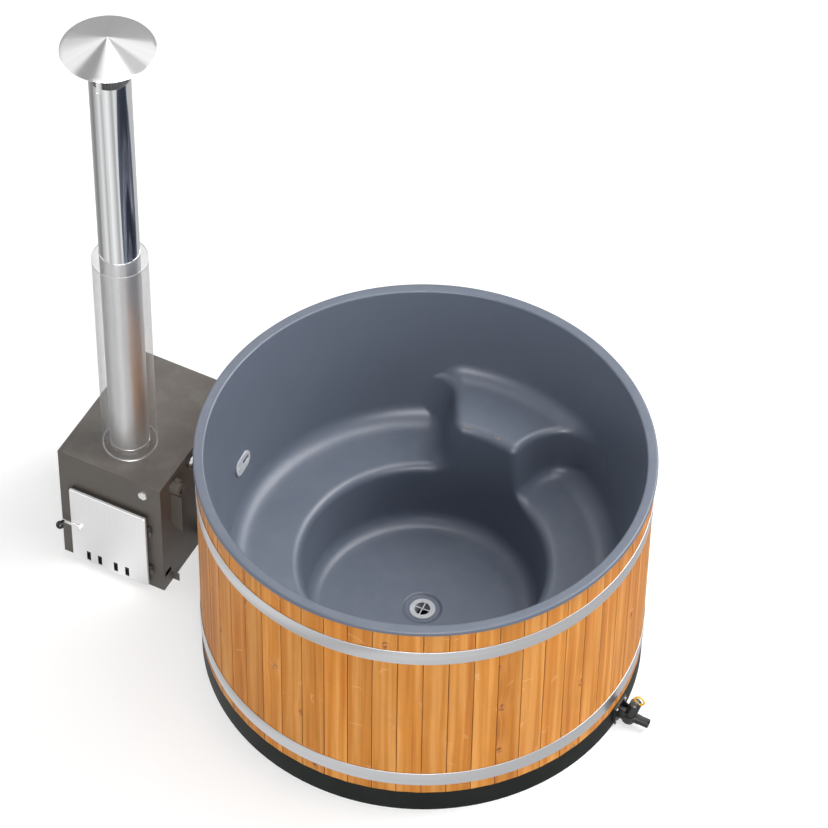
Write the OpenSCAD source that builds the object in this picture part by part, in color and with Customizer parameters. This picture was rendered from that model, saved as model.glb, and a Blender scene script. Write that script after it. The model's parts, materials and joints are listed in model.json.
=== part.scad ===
/* [Rim and liner] */
// Outer diameter of the rim, over its skirt
rim_d = 1806; // [1640:2:2000]
// Height of the rim's top above the ground
rim_z = 1110; // [1040:5:1180]
// Width of the rim from its inner edge to the face of its skirt
rim_w = 42; // [40:1:60]
// Height of the rim's outer skirt
skirt_h = 20; // [14:1:40]
// Thickness of the liner's shell
shell_t = 6; // [4:0.5:8]
// Lean of the liner's wall from upright, in degrees
wall_lean = 8.5; // [7:0.1:9.5]
// Height of the bench
bench_z = 460; // [430:5:480]
// Height of the foot well's floor
well_z = 158; // [152:1:190]
// Radius of the foot well's floor
well_r = 465; // [400:5:480]
// Lean of the foot well's wall from upright, in degrees
riser_lean = 5.3; // [3:0.1:6]

/* [Step] */
// Height of the raised step in the bench
step_z = 700; // [620:5:740]
// Bearing of the step's left edge along its top, in degrees
step_left_turn = 118; // [113:1:122]
// Lean of the step's left flank, in degrees
step_left_lean = 12.6; // [9:0.2:15]
// Radius of the hollow in the step's right flank
scallop_r = 222; // [200:1:240]
// Lean of the step's right flank, in degrees
scallop_lean = 12.6; // [9:0.2:15]

/* [Cladding] */
// Thickness of a stave
stave_t = 27; // [22:1:32]
// Width of a stave's outer face
stave_w = 97.6; // [85:0.1:130]
// Gap between two staves
stave_gap = 0.6; // [0.4:0.1:1.5]
// Gap between the staves and the rim's skirt
skirt_gap = 2; // [1:0.5:4]

/* [Hoops] */
// Width of a hoop
hoop_w = 72; // [50:1:80]
// Thickness of a hoop
hoop_t = 2.2; // [1.5:0.1:3]
// Height of the upper hoop's lower edge
upper_hoop_z = 913; // [860:1:930]
// Height of the lower hoop's lower edge
lower_hoop_z = 161; // [140:1:200]
// Gap between a hoop's two ends
hoop_gap = 24; // [16:1:40]
// Thickness of a hoop's lug
lug_t = 5; // [3:0.5:8]
// Reach of a lug from its hoop
lug_reach = 32; // [28:1:40]
// Diameter of a hoop's bolt
hoop_bolt_d = 10; // [8:1:12]

/* [Base] */
// Height of the base band
band_h = 108.5; // [104:0.5:120]
// Thickness of the base band
band_t = 4; // [3:0.5:6]
// Step inwards from the wood to the base band
band_in = 1; // [0.5:0.5:4]
// Thickness of the deck
deck_t = 18; // [15:1:24]
// Thickness of the ground boards
ground_board_t = 18; // [12:1:19]
// Width of the ground boards
ground_board_w = 120; // [90:5:150]
// Distance between the ground boards
ground_board_step = 500; // [400:10:600]
// Width of a joist
joist_w = 45; // [36:1:60]
// Distance between the joists
joist_step = 220; // [180:5:240]
// Thickness of the boards under the bench
prop_t = 28; // [20:1:40]

/* [Drain] */
// Height of the drain pipe's axis above the ground
drain_z = 45; // [45:0.5:48]
// Outer diameter of the drain pipe
drain_pipe_d = 50; // [40:1:50]
// Wall of the drain pipe
drain_pipe_wall = 3.5; // [2.5:0.5:5]
// Bearing of the drain pipe, in degrees
drain_turn = -1.5; // [-3:0.5:0]
// Diameter of the drain's flange
drain_flange_d = 105; // [100:1:120]
// Diameter of the drain's grate
grate_d = 70; // [60:1:72]
// Diameter of the dish round the drain
dish_d = 160; // [140:2:180]
// Depth of the dish round the drain
dish_h = 9; // [8:0.5:11]
// Thickness of the drain's flange
drain_flange_t = 4; // [3:0.5:6]

/* [Drain valve] */
// Width of the valve's flange
valve_flange_w = 90; // [84:1:100]
// Thickness of the gasket behind the valve's flange
valve_gasket_t = 5; // [5:0.5:7]
// Thickness of the valve's flange
valve_flange_t = 6; // [5:1:10]
// Diameter of the valve's body
valve_body_d = 57; // [56:1:62]
// Distance of the valve's body from its flange
valve_body_out = 40; // [39:1:46]
// Lean of the valve's body and post away from the tub, in degrees
valve_lean = 14; // [11:0.5:16]
// Diameter of the valve's post
valve_post_d = 48; // [45:1:50]
// Length of the post above the pipe's axis
valve_post_h = 86; // [84:1:92]
// Diameter of the valve's tail
valve_tail_d = 38; // [36:0.5:40]
// Reach of the tail beyond the body's axis
valve_tail_out = 84; // [76:1:96]
// Bore of the valve's tail
valve_bore_d = 30; // [24:1:31]
// Travel of the plunger
plunger_lift = 32; // [32:1:36]
// Diameter across the middle of the pull ring's section
ring_d = 41; // [36:1:44]
// Thickness of the pull ring
ring_t = 8; // [6:0.5:9]

/* [Wall fitting] */
// Height of the wall fitting's axis
fitting_z = 677; // [660:1:700]
// Distance of the wall fitting's axis from the tub's centre line
fitting_y = -54; // [-80:1:-40]
// Length of the oval cover
cover_w = 122; // [116:1:140]
// Height of the oval cover
cover_h = 70; // [66:1:80]
// Thickness of the oval cover
cover_t = 7; // [5:0.5:10]
// Outer diameter of the water pipes
water_pipe_d = 48; // [40:1:48]
// Wall of the water pipes
water_pipe_wall = 4; // [3:0.5:6]
// Wall of the rubber hose
hose_wall = 5; // [4:0.5:7]

/* [Stove] */
// Width of the stove
stove_w = 473; // [460:1:500]
// Depth of the stove
stove_d = 639; // [600:1:700]
// Height of the stove
stove_h = 617; // [610:1:660]
// Gap between the rim and the stove
stove_gap = 131; // [120:1:160]
// Distance of the stove's front from the tub's centre line
stove_front = 298; // [280:1:320]
// Thickness of the stove's outer sheet
sheet_t = 3; // [2:0.5:4]
// Thickness of the tank's and firebox's plate
plate_t = 4; // [3:0.5:5]
// Gap between the outer sheet and the tank
tank_gap = 24; // [20:1:30]
// Gap between the case's top and the tank
tank_top_gap = 15; // [12:1:16]
// Water space between the tank and the firebox
water_gap = 32; // [28:1:36]
// Height of the firebox
firebox_h = 430; // [420:5:440]
// Height of the grate above the firebox's floor
fire_grate_z = 75; // [70:1:90]
// Thickness of the grate's bars
grate_bar_t = 12; // [8:1:16]

/* [Door] */
// Width of the door
door_w = 354; // [346:1:360]
// Height of the door
door_h = 414; // [406:1:420]
// Height of the door's lower edge
door_z = 28; // [24:1:32]
// Depth of the door's folded edge
door_t = 28; // [24:1:34]
// Thickness of the door's sheet
door_sheet_t = 2; // [1.5:0.5:3]
// Overlap of the door over the front's opening
door_lap = 17; // [15:1:20]
// Width of an air slot
slot_w = 19; // [14:1:22]
// Height of an air slot
slot_h = 53; // [40:1:56]
// Height of the air slots' middle above the door's lower edge
slot_z = 38; // [34:1:42]
// Diameter of a hinge's pin
pin_d = 8; // [6:1:9]
// Outer diameter of a hinge's knuckle
knuckle_d = 14; // [13:0.5:15]
// Height of a hinge's knuckle
knuckle_h = 26; // [20:1:34]

/* [Latch] */
// Distance of the latch's shaft from the door's left edge
latch_in = 46; // [42:1:52]
// Height of the latch's shaft
latch_z = 234; // [200:1:260]
// Length of the latch's bar
latch_len = 79; // [72:1:90]
// Diameter of the latch's shaft
latch_shaft_d = 10; // [8:1:12]
// Diameter of the latch's knob
knob_d = 35; // [30:1:40]
// Length of the tongue behind the door
tongue_len = 44; // [42:1:50]

/* [Flue] */
// Outer diameter of the flue
flue_d = 160; // [140:1:164]
// Wall of the flue
flue_wall = 1; // [0.8:0.1:1.5]
// Length of the flue
flue_h = 2025; // [1500:5:2200]
// Distance of the flue's axis behind the stove's front
flue_in = 184; // [170:1:200]
// Shift of the flue's axis from the stove's middle
flue_shift = -4; // [-10:1:10]
// Outer diameter of the heat guard
guard_d = 223; // [212:1:230]
// Wall of the heat guard
guard_wall = 1; // [0.8:0.1:1.5]
// Height of the heat guard
guard_h = 1064; // [800:5:1200]
// Width of the notch in the flue's top
notch_w = 22; // [16:1:26]
// Depth of the notch in the flue's top
notch_h = 32; // [20:1:40]
// Diameter of the rain cap
cap_d = 360; // [300:5:400]
// Height of the rain cap's cone
cap_h = 62; // [50:1:80]
// Height of the cap's edge above the flue
cap_lift = 134; // [100:1:160]
// Thickness of the cap's sheet
cap_t = 1; // [0.8:0.1:1.5]

/* [Stove fittings] */
// Width across the flats of the hexagonal plug
plug_af = 36; // [30:1:40]
// Distance of the plug from the stove's right side
plug_in = 78; // [72:1:84]
// Depth of the plug's axis below the stove's top
plug_down = 60; // [52:1:70]
// Outer diameter of the spare outlet
outlet_d = 44; // [40:1:46]
// Depth of the side outlet's axis below the stove's top
outlet_down = 54; // [50:1:58]
// Distance of the spare outlet behind the stove's front
outlet_in = 93; // [80:1:100]
// Reach of the outlet and the upper bracket from the stove's side
outlet_reach = 49; // [44:1:60]
// Diameter of the outlet's clamp
clamp_d = 56; // [52:1:58]
// Height of the upper bracket's lower edge
bracket_z = 310; // [290:1:340]
// Height of the lower bracket
low_bracket_h = 45; // [30:1:60]
// Reach of the lower bracket from the stove's side
low_bracket_reach = 29; // [20:1:44]
// Width of the port low in the stove's right side
port_w = 51; // [40:1:56]
// Height of the port
port_h = 27; // [22:1:40]
// Height of the port's lower edge
port_z = 69; // [60:1:76]
// Distance of the port behind the stove's front
port_in = 13; // [10:1:20]

/* [Hidden] */

// Clearance between two pieces that seat on each other
seat = 0.3;
// Radial clearance of a pin that turns in its hole
run = 0.08;
fine = 96;
// Facets of a wide round that cuts a small piece
wide_fine = 2880;

rim_r = rim_d / 2;
rim_in_r = rim_r - rim_w;
shell_side = shell_t / cos(wall_lean);
// A point on the step's left top edge, one on the axis of the hollow in its right flank, and the
// bearing to which that axis leans
step_left_at = [-151, 570];
scallop_at = [400, 505];
scallop_turn = -138.8;
wood_r = rim_r - shell_t - skirt_gap;
stave_in_r = wood_r - stave_t;
stave_turn = 2 * asin(stave_w / 2 / wood_r);
stave_n = floor(360 / stave_turn - 0.3);
// The staves start so that the joints fall where they are seen, and the narrow closing stave
// ends up at the back
stave_start = 115.55;
stave_close = 360 - stave_n * stave_turn;
seam = stave_start - stave_close / 2;
stave_z = band_h + seat;
hoop_r = wood_r + seat;
lug_hole_r = hoop_r + hoop_t + lug_reach / 2;
lug_in = 6;
bolt_head_t = 7;
bolt_nut_t = 8;
bolt_out = 14;
hex_r = hoop_bolt_d * 0.96;
// How far the wall's insulation stays above the bench and below the rim
insulation_up = 60;
insulation_down = 50;

band_r = wood_r - band_in;
deck_r = band_r - band_t - seat;
deck_z = band_h - deck_t;
prop_z = band_h + seat;
// How far the boards under the bench and the step stay off the walls beside them
prop_room = 20;
prop_r0 = bench_edge(bench_z) + shell_side + prop_room;
prop_r1 = wall_r(bench_z) - prop_room;
step_prop_r0 = bench_edge(step_z) + shell_side + prop_room / 2;
step_prop_r1 = wall_r(bench_z) - prop_room;
prop_bearings = [180, 225, 270, 315, 0, 37];
step_prop_bearings = [84, 98];

dish_z = well_z - dish_h;
drain_bore_d = grate_d - 6;
drain_body_d = grate_d + 6;
drain_nut_t = 12;
gasket_t = 3;
flange_t = drain_flange_t;
tee_d = drain_body_d + 8;
tee_top = dish_z - shell_t - gasket_t - drain_nut_t - 4 * seat;
tee_socket = 26;
// Half the length of the tee, and where the pipes stop in it
tee_run = 90;
tee_stop = 45;
tee_run_r = min(drain_pipe_d / 2 + 4, drain_z - ground_board_t - 1);

valve_face = band_r + valve_gasket_t;
valve_flange_x = valve_face + valve_flange_t;
body_x = valve_flange_x + valve_body_out;
tail_x = body_x + valve_tail_out;
// Where the tail's plain end starts, and the collar that a hose stops at
tail_start = body_x + valve_body_d / 2 + 16;
tail_collar_t = 3.5;
tail_collar_r = valve_tail_d / 2 + 1.5;
chamber_r = valve_bore_d / 2 + 2;
// Distance of the valve's two webs from its middle
web_out = 21;
cap_dome_h = 22;
ring_out = 8;
ring_up = valve_post_h + seat + cap_dome_h + ring_d / 2 - 6;
stem_r = 6;
flange_screw_in = 11;
// How far the valve's flange, the gasket and the drain pipe stop short
flange_z0 = 12;
flange_z1 = band_h - 2;
gasket_in = 3;
drain_pipe_in = 6;
screw_r = 2.5;
screw_head_r = 5;
screw_head_t = 3;

fitting_r = wall_r(fitting_z);
fitting_x = -sqrt(fitting_r * fitting_r - fitting_y * fitting_y);
fitting_turn = atan2(-fitting_y, -fitting_x);
// The flat cover touches the round wall at its two ends only
cover_x = fitting_r - sqrt(pow(fitting_r, 2) - pow(cover_w / 2, 2)) + seat;
cover_slot_len = 47;
cover_slot_w = 22;
cover_screw_y = 38;
pipe_r = water_pipe_d / 2;
fitting_nut_r = pipe_r + 9;
fitting_nut_t = 24;
hose_r = pipe_r + seat + hose_wall;
outlet_z = stove_h - outlet_down;
hose_z = outlet_z;
hose_x0 = -wood_r - 12;
hose_x1 = -(rim_r + stove_gap) + 4;
hose_bend_r = 34;
hose_knee0 = hose_x0 - (hose_x0 - hose_x1) / 2 + hose_bend_r;
hose_knee1 = hose_knee0 - 2 * hose_bend_r;

stove_x1 = -(rim_r + stove_gap);
stove_x0 = stove_x1 - stove_w;
stove_x = (stove_x0 + stove_x1) / 2;
stove_y0 = -stove_front;
stove_y1 = stove_y0 + stove_d;
tongue_room = 12;
tank_x0 = stove_x0 + tank_gap;
tank_x1 = stove_x1 - tank_gap;
tank_y0 = stove_y0 + sheet_t + tongue_room;
tank_y1 = stove_y1 - tank_gap;
tank_z0 = 12;
tank_z1 = stove_h - tank_top_gap;
fire_x0 = tank_x0 + plate_t + water_gap;
fire_x1 = tank_x1 - plate_t - water_gap;
fire_y1 = tank_y1 - plate_t - water_gap;
fire_z0 = tank_z0 + plate_t + 24;
fire_z1 = fire_z0 + firebox_h;
fire_t = plate_t;

flue_x = stove_x + flue_shift;
flue_y = stove_y0 + flue_in;
flue_r = flue_d / 2;
collar_r = flue_r - flue_wall - seat;
collar_h = 60;
flue_top = stove_h + seat + flue_h;
guard_r = guard_d / 2;
guard_foot_h = 8;
cap_z = flue_top + cap_lift;
leg_w = 24;
leg_t = 2;
leg_bearings = [270, 30, 150];
leg_depth = 60;

door_gap = 2;
door_y1 = stove_y0 - door_gap;
door_y0 = door_y1 - door_t;
door_x0 = stove_x - door_w / 2;
door_x1 = stove_x + door_w / 2;
door_z1 = door_z + door_h;
hole_x0 = door_x0 + door_lap;
hole_x1 = door_x1 - door_lap;
hole_z0 = door_z + door_lap;
hole_z1 = door_z1 - door_lap;
slot_xs = [-100.5, -48, 26.5, 80];
pin_r = pin_d / 2;
knuckle_r = knuckle_d / 2;
hinge_in = 62;
pin_x = door_x1 + knuckle_r + door_gap;
pin_y = stove_y0 - knuckle_r - 1;
hinge_zs = [door_z + hinge_in, door_z1 - hinge_in - 2 * knuckle_h];
seal_w = 10;
seal_t = 9;
seal_in = door_sheet_t + seat;

latch_x = door_x0 + latch_in;
latch_r = latch_shaft_d / 2;
latch_bar_w = 14;
latch_bar_t = 4;
latch_bar_y = door_y0 - door_gap - latch_bar_t;
knob_pin_r = 4;
knob_neck = 7;
knob_pin_len = 9;
knob_x = latch_x - latch_len;
knob_y = latch_bar_y - knob_neck - knob_d / 2;
tongue_gap = 1.5;
tongue_y0 = stove_y0 + sheet_t + tongue_gap;
tongue_t = 4;
tongue_w = 12;

plug_x = stove_x1 - plug_in;
plug_z = stove_h - plug_down;
plug_t = 10;
plug_r = plug_af / 2 - 6;
outlet_y = stove_y0 + outlet_in;
outlet_r = outlet_d / 2;
outlet_x = stove_x1 + outlet_reach;
clamp_turn = -28;
clamp_ear_t = 9;
clamp_ear_h = 12;
clamp_slit = 4;
bracket_y = outlet_y - 7;
low_bracket_y = bracket_y - 10;
bracket_room = 12;
bracket_rise = 35;
// Depth of the fold at the front sheet's top, and the screw that holds it
fold_d = 18;
casing_screw_r = 1.7;
casing_screw_len = 14;
casing_screw_x = stove_x - 65;
casing_screw_y = stove_y0 + fold_d / 2;

// Radius of the liner's wall at a height
function wall_r(z) = rim_in_r - (rim_z - z) * tan(wall_lean);
// Radius of the foot well's wall at a height
function bench_edge(z) = well_r + (z - well_z) * tan(riser_lean);
// Height of the cap's underside at a radius
function cap_under(r) = cap_z + cap_h * (1 - 2 * r / cap_d) - cap_t;

// A pipe along +X from x0 to x1
module pipe_x(x0, x1, r, bore) {
    translate([x0, 0, 0]) rotate([0, 90, 0]) difference() {
        cylinder(r = r, h = x1 - x0, $fn = fine);
        translate([0, 0, -1]) cylinder(r = bore, h = x1 - x0 + 2, $fn = fine);
    }
}

// A rod along +X from x0 to x1
module rod_x(x0, x1, r) {
    translate([x0, 0, 0]) rotate([0, 90, 0]) cylinder(r = r, h = x1 - x0, $fn = fine);
}

// An upright ring
module ring(r0, r1, z0, z1) {
    rotate_extrude($fn = fine) translate([r0, z0]) square([r1 - r0, z1 - z0]);
}

// A block given by its two corners
module block(low, high) {
    translate(low) cube(high - low);
}

// The body of the step, drawn in by d on each face
module step_block(d) {
    difference() {
        intersection() {
            block([-rim_r, 0, 0], [rim_r, rim_d, step_z - d]);
            translate([step_left_at.x, step_left_at.y, step_z]) rotate([0, 0, step_left_turn])
                rotate([step_left_lean, 0, 0]) translate([0, -rim_r - d, 0])
                    cube([rim_d, rim_d, 2 * rim_z], center = true);
        }
        translate([scallop_at.x, scallop_at.y, (bench_z + step_z) / 2]) rotate([0, 0, scallop_turn])
            rotate([0, scallop_lean, 0]) cylinder(r = scallop_r + d, h = rim_z, center = true, $fn = fine);
        block([scallop_at.x, -1, -1], [rim_d, 2 * rim_d, rim_z]);
        block([scallop_at.x - scallop_r / 2, -1, -1], [rim_d, scallop_at.y, rim_z]);
    }
}

// A cone about the tub's axis through the foot well's wall, drawn out by d, up to a height
module well_cone(d, z0, z1) {
    rotate_extrude($fn = fine) polygon([[0, z0], [bench_edge(z0) + d, z0],
        [bench_edge(z1) + d, z1], [0, z1]]);
}

module liner() {
    color("slategray") difference() {
        union() {
            difference() {
                rotate_extrude($fn = fine) polygon([[0, bench_z - shell_t],
                    [wall_r(bench_z - shell_t) + shell_side, bench_z - shell_t],
                    [wall_r(rim_z - shell_t) + shell_side, rim_z - shell_t],
                    [rim_r - shell_t, rim_z - shell_t], [rim_r - shell_t, rim_z - skirt_h],
                    [rim_r, rim_z - skirt_h], [rim_r, rim_z - 3], [rim_r - 3, rim_z], [0, rim_z]]);
                step_block(shell_t);
            }
            well_cone(shell_side, well_z - shell_t, step_z);
            ring(drain_bore_d / 2, dish_d / 2 + shell_t, dish_z - shell_t, well_z - 1);
        }
        difference() {
            rotate_extrude($fn = fine) polygon([[0, bench_z], [wall_r(bench_z), bench_z],
                [wall_r(rim_z + 10), rim_z + 10], [0, rim_z + 10]]);
            step_block(0);
        }
        well_cone(0, well_z, step_z + 5);
        translate([0, 0, dish_z]) cylinder(r1 = dish_d / 2 - dish_h, r2 = dish_d / 2 + 1,
            h = dish_h + 1, $fn = fine);
        cylinder(r = drain_body_d / 2 + seat, h = well_z, $fn = fine);
        translate([0, fitting_y, fitting_z]) rod_x(-rim_r, -well_r, pipe_r + seat);
    }
}

module stave(a0, a1) {
    half = stave_gap / 2 / wood_r * 180 / PI;
    b0 = a0 + half;
    b1 = a1 - half;
    linear_extrude(rim_z - shell_t - seat - stave_z) polygon([
        [stave_in_r * cos(b0), stave_in_r * sin(b0)], [wood_r * cos(b0), wood_r * sin(b0)],
        [wood_r * cos(b1), wood_r * sin(b1)], [stave_in_r * cos(b1), stave_in_r * sin(b1)]]);
}

module staves() {
    color("peru") difference() {
        translate([0, 0, stave_z]) {
            for (i = [0 : stave_n - 1])
                stave(stave_start + i * stave_turn, stave_start + (i + 1) * stave_turn);
            stave(stave_start - stave_close, stave_start);
        }
        translate([0, fitting_y, fitting_z]) rod_x(-rim_r - 50, -stave_in_r + 60, pipe_r + seat);
    }
}

module hoop(z) {
    difference() {
        ring(hoop_r, hoop_r + hoop_t, z, z + hoop_w);
        rotate([0, 0, seam]) block([0, -hoop_gap / 2, z - 1], [rim_r + 50, hoop_gap / 2, z + hoop_w + 1]);
    }
}

module hoop_upper() { color("silver") hoop(upper_hoop_z); }

module hoop_lower() { color("silver") hoop(lower_hoop_z); }

// A copy for each hoop, placed at its seam with +X outwards
module at_hoops() {
    for (z = [upper_hoop_z, lower_hoop_z]) rotate([0, 0, seam]) translate([0, 0, z + hoop_w / 2])
        children();
}

module hoop_lugs() {
    color("silver") at_hoops() for (side = [-1, 1]) difference() {
        block([hoop_r, side > 0 ? hoop_gap / 2 : -hoop_gap / 2 - lug_t, lug_in - hoop_w / 2],
            [hoop_r + hoop_t + lug_reach, side > 0 ? hoop_gap / 2 + lug_t : -hoop_gap / 2,
                hoop_w / 2 - lug_in]);
        cylinder(r = hoop_r + hoop_t, h = hoop_w, center = true, $fn = wide_fine);
        translate([lug_hole_r, 0, 0]) rotate([90, 0, 0])
            cylinder(r = hoop_bolt_d / 2 + seat, h = 4 * (hoop_gap + lug_t), center = true, $fn = fine);
    }
}

module hoop_bolts() {
    color("gray") at_hoops() translate([lug_hole_r, -hoop_gap / 2 - lug_t, 0]) rotate([-90, 0, 0]) {
        cylinder(r = hoop_bolt_d / 2, h = hoop_gap + 2 * lug_t + bolt_nut_t + bolt_out, $fn = fine);
        translate([0, 0, -bolt_head_t]) cylinder(r = hex_r, h = bolt_head_t, $fn = 6);
    }
}

module hoop_nuts() {
    color("gray") at_hoops() translate([lug_hole_r, hoop_gap / 2 + lug_t, 0]) rotate([-90, 0, 0])
        difference() {
            cylinder(r = hex_r, h = bolt_nut_t, $fn = 6);
            translate([0, 0, -1]) cylinder(r = hoop_bolt_d / 2, h = bolt_nut_t + 2, $fn = fine);
        }
}

module wall_insulation() {
    z0 = bench_z + insulation_up;
    z1 = rim_z - insulation_down;
    outer = stave_in_r * cos(stave_turn / 2) - seat;
    color("khaki") difference() {
        rotate_extrude($fn = fine) polygon([[wall_r(z0) + shell_side + seat, z0], [outer, z0],
            [outer, z1], [wall_r(z1) + shell_side + seat, z1]]);
        translate([0, fitting_y, fitting_z]) rod_x(-rim_r, -well_r, fitting_nut_r + seat);
    }
}

module base_band() {
    color("dimgray") difference() {
        ring(band_r - band_t, band_r, 0, band_h);
        rotate([0, 0, drain_turn]) translate([0, 0, drain_z])
            rod_x(-rim_r, rim_r, drain_pipe_d / 2 + 1);
    }
}

module ground_boards() {
    color("saddlebrown") for (x = [-1, 0, 1] * ground_board_step) {
        half = sqrt(pow(deck_r - 6, 2) - pow(abs(x) + ground_board_w / 2, 2));
        block([x - ground_board_w / 2, -half, 0], [x + ground_board_w / 2, half, ground_board_t]);
    }
}

module joists() {
    color("saddlebrown") for (i = [-3.5 : 1 : 3.5]) {
        y = i * joist_step;
        half = sqrt(pow(deck_r - 6, 2) - pow(abs(y) + joist_w / 2, 2));
        block([-half, y - joist_w / 2, ground_board_t], [half, y + joist_w / 2, deck_z]);
    }
}

module deck() {
    color("tan") ring(tee_d / 2 + 4, deck_r, deck_z, band_h);
}

module floor_insulation() {
    color("khaki") ring(dish_d / 2 + shell_t + 2, bench_edge(well_z) - 12, prop_z, well_z - shell_t - seat);
}

// An upright board that runs outwards under the bench
module prop(bearing, r0, r1, top) {
    rotate([0, 0, bearing]) block([r0, -prop_t / 2, prop_z], [r1, prop_t / 2, top]);
}

module props() {
    color("burlywood") {
        for (a = prop_bearings) prop(a, prop_r0, prop_r1, bench_z - shell_t - seat);
        for (a = step_prop_bearings) prop(a, step_prop_r0, step_prop_r1, step_z - shell_t - seat);
    }
}

module drain_flange() {
    color("lightgray") difference() {
        union() {
            ring(drain_bore_d / 2, drain_flange_d / 2, dish_z, dish_z + flange_t);
            ring(drain_bore_d / 2, drain_body_d / 2, tee_top - tee_socket, dish_z + flange_t);
        }
        translate([0, 0, dish_z + 1]) cylinder(r = grate_d / 2 + seat, h = flange_t, $fn = fine);
    }
}

module drain_grate() {
    color("silver") {
        ring(grate_d / 2 - 3, grate_d / 2, dish_z + 1, dish_z + flange_t);
        difference() {
            intersection() {
                cylinder(r = grate_d / 2 - 2, h = well_z * 2, $fn = fine);
                for (a = [3, 93]) rotate([0, 0, a])
                    block([-grate_d, -2, dish_z + 1], [grate_d, 2, dish_z + flange_t]);
            }
            translate([0, 0, dish_z + flange_t - 1.5]) cylinder(r = 1, h = 3, $fn = fine);
        }
    }
}

module drain_gasket() {
    color("black") ring(drain_body_d / 2 + seat, drain_flange_d / 2, dish_z - shell_t - seat - gasket_t,
        dish_z - shell_t - seat);
}

module drain_nut() {
    color("dimgray") ring(drain_body_d / 2, drain_flange_d / 2, tee_top + 2 * seat,
        dish_z - shell_t - 2 * seat - gasket_t);
}

module drain_tee() {
    color("dimgray") rotate([0, 0, drain_turn]) difference() {
        union() {
            translate([0, 0, drain_z]) rod_x(-tee_run, tee_run, tee_run_r);
            translate([0, 0, drain_z]) cylinder(r = tee_d / 2, h = tee_top - drain_z, $fn = fine);
        }
        translate([0, 0, drain_z]) {
            rod_x(-tee_run - 1, -tee_stop, drain_pipe_d / 2);
            rod_x(tee_stop, tee_run + 1, drain_pipe_d / 2);
            rod_x(-tee_run, tee_run, drain_pipe_d / 2 - drain_pipe_wall);
        }
        translate([0, 0, tee_top - tee_socket - seat])
            cylinder(r = drain_body_d / 2 + seat, h = tee_socket + 1, $fn = fine);
        translate([0, 0, drain_z]) cylinder(r = drain_bore_d / 2, h = tee_top - drain_z, $fn = fine);
    }
}

module drain_pipe() {
    color("dimgray") rotate([0, 0, drain_turn]) translate([0, 0, drain_z])
        pipe_x(tee_stop + seat, valve_face - drain_pipe_in, drain_pipe_d / 2,
            drain_pipe_d / 2 - drain_pipe_wall);
}

module return_pipe() {
    color("dimgray") rotate([0, 0, drain_turn]) translate([0, 0, drain_z])
        pipe_x(tank_x1 - plate_t, -tee_stop - seat, drain_pipe_d / 2, drain_pipe_d / 2 - drain_pipe_wall);
}

module valve_gasket() {
    color("black") rotate([0, 0, drain_turn]) difference() {
        block([band_r - 6, -valve_flange_w / 2 + gasket_in, flange_z0 + gasket_in],
            [valve_face - seat, valve_flange_w / 2 - gasket_in, flange_z1 - gasket_in]);
        cylinder(r = band_r + seat, h = 2 * band_h, center = true, $fn = wide_fine);
        translate([0, 0, drain_z]) rod_x(band_r - 20, valve_face + 20, drain_pipe_d / 2 + seat);
    }
}

// Places of the flange's four screws, as [y, z]
flange_holes = [for (side = [-1, 1], z = [flange_z0 + flange_screw_in, flange_z1 - flange_screw_in])
    [side * (valve_flange_w / 2 - flange_screw_in), z]];

// Places what follows on the axis of the valve's body, +Z up along the post, at the pipe's height
module on_valve() {
    rotate([0, 0, drain_turn]) translate([body_x, 0, drain_z]) rotate([0, valve_lean, 0]) children();
}

module valve_body() {
    bore_r = drain_pipe_d / 2 - drain_pipe_wall;
    web_x = body_x + 16;
    color("dimgray") difference() {
        union() {
            rotate([0, 0, drain_turn]) {
                block([valve_face, -valve_flange_w / 2, flange_z0],
                    [valve_flange_x, valve_flange_w / 2, flange_z1]);
                translate([0, 0, drain_z]) rod_x(valve_flange_x - 1, body_x, drain_pipe_d / 2 + 1);
                translate([0, 0, drain_z]) rod_x(body_x, tail_x, valve_tail_d / 2);
                translate([0, 0, drain_z]) rod_x(body_x, tail_start, tail_collar_r);
                for (side = [-1, 1]) translate([0, side * web_out + 1.5, 0]) rotate([90, 0, 0])
                    linear_extrude(3) polygon([[valve_flange_x - 1, drain_z], [valve_flange_x - 1, band_h - 4],
                        [web_x, drain_z + 10], [web_x, drain_z]]);
            }
            on_valve() {
                translate([0, 0, -23]) cylinder(r = valve_body_d / 2, h = 39, $fn = fine);
                translate([0, 0, -30])
                    cylinder(r1 = valve_body_d / 2 - 6, r2 = valve_body_d / 2, h = 7.5, $fn = fine);
                cylinder(r = valve_post_d / 2, h = valve_post_h, $fn = fine);
            }
        }
        rotate([0, 0, drain_turn]) {
            translate([0, 0, drain_z]) {
                rod_x(valve_face - 1, body_x - chamber_r, bore_r);
                rod_x(body_x - chamber_r - 1, tail_start - tail_collar_t, valve_bore_d / 2 + 0.5);
                rod_x(body_x + chamber_r + 1, tail_x + 1, valve_bore_d / 2);
            }
            for (p = flange_holes) translate([0, p[0], p[1]])
                rod_x(valve_face - 1, valve_flange_x + 1, screw_r + seat);
        }
        on_valve() {
            translate([0, 0, -chamber_r])
                cylinder(r = chamber_r, h = valve_post_h - 4 + chamber_r, $fn = fine);
            cylinder(r = stem_r + run, h = 2 * valve_post_h, $fn = fine);
        }
    }
}

module valve_screws() {
    color("silver") rotate([0, 0, drain_turn]) for (p = flange_holes) translate([0, p[0], p[1]]) {
        rod_x(valve_face + 0.5, valve_flange_x + 0.5, screw_r);
        rod_x(valve_flange_x, valve_flange_x + screw_head_t, screw_head_r);
    }
}

module valve_plunger() {
    color("gray") on_valve() {
        translate([0, 0, -chamber_r + seat]) cylinder(r = chamber_r - seat, h = 2 * chamber_r, $fn = fine);
        cylinder(r = stem_r, h = valve_post_h + seat, $fn = fine);
    }
}

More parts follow.
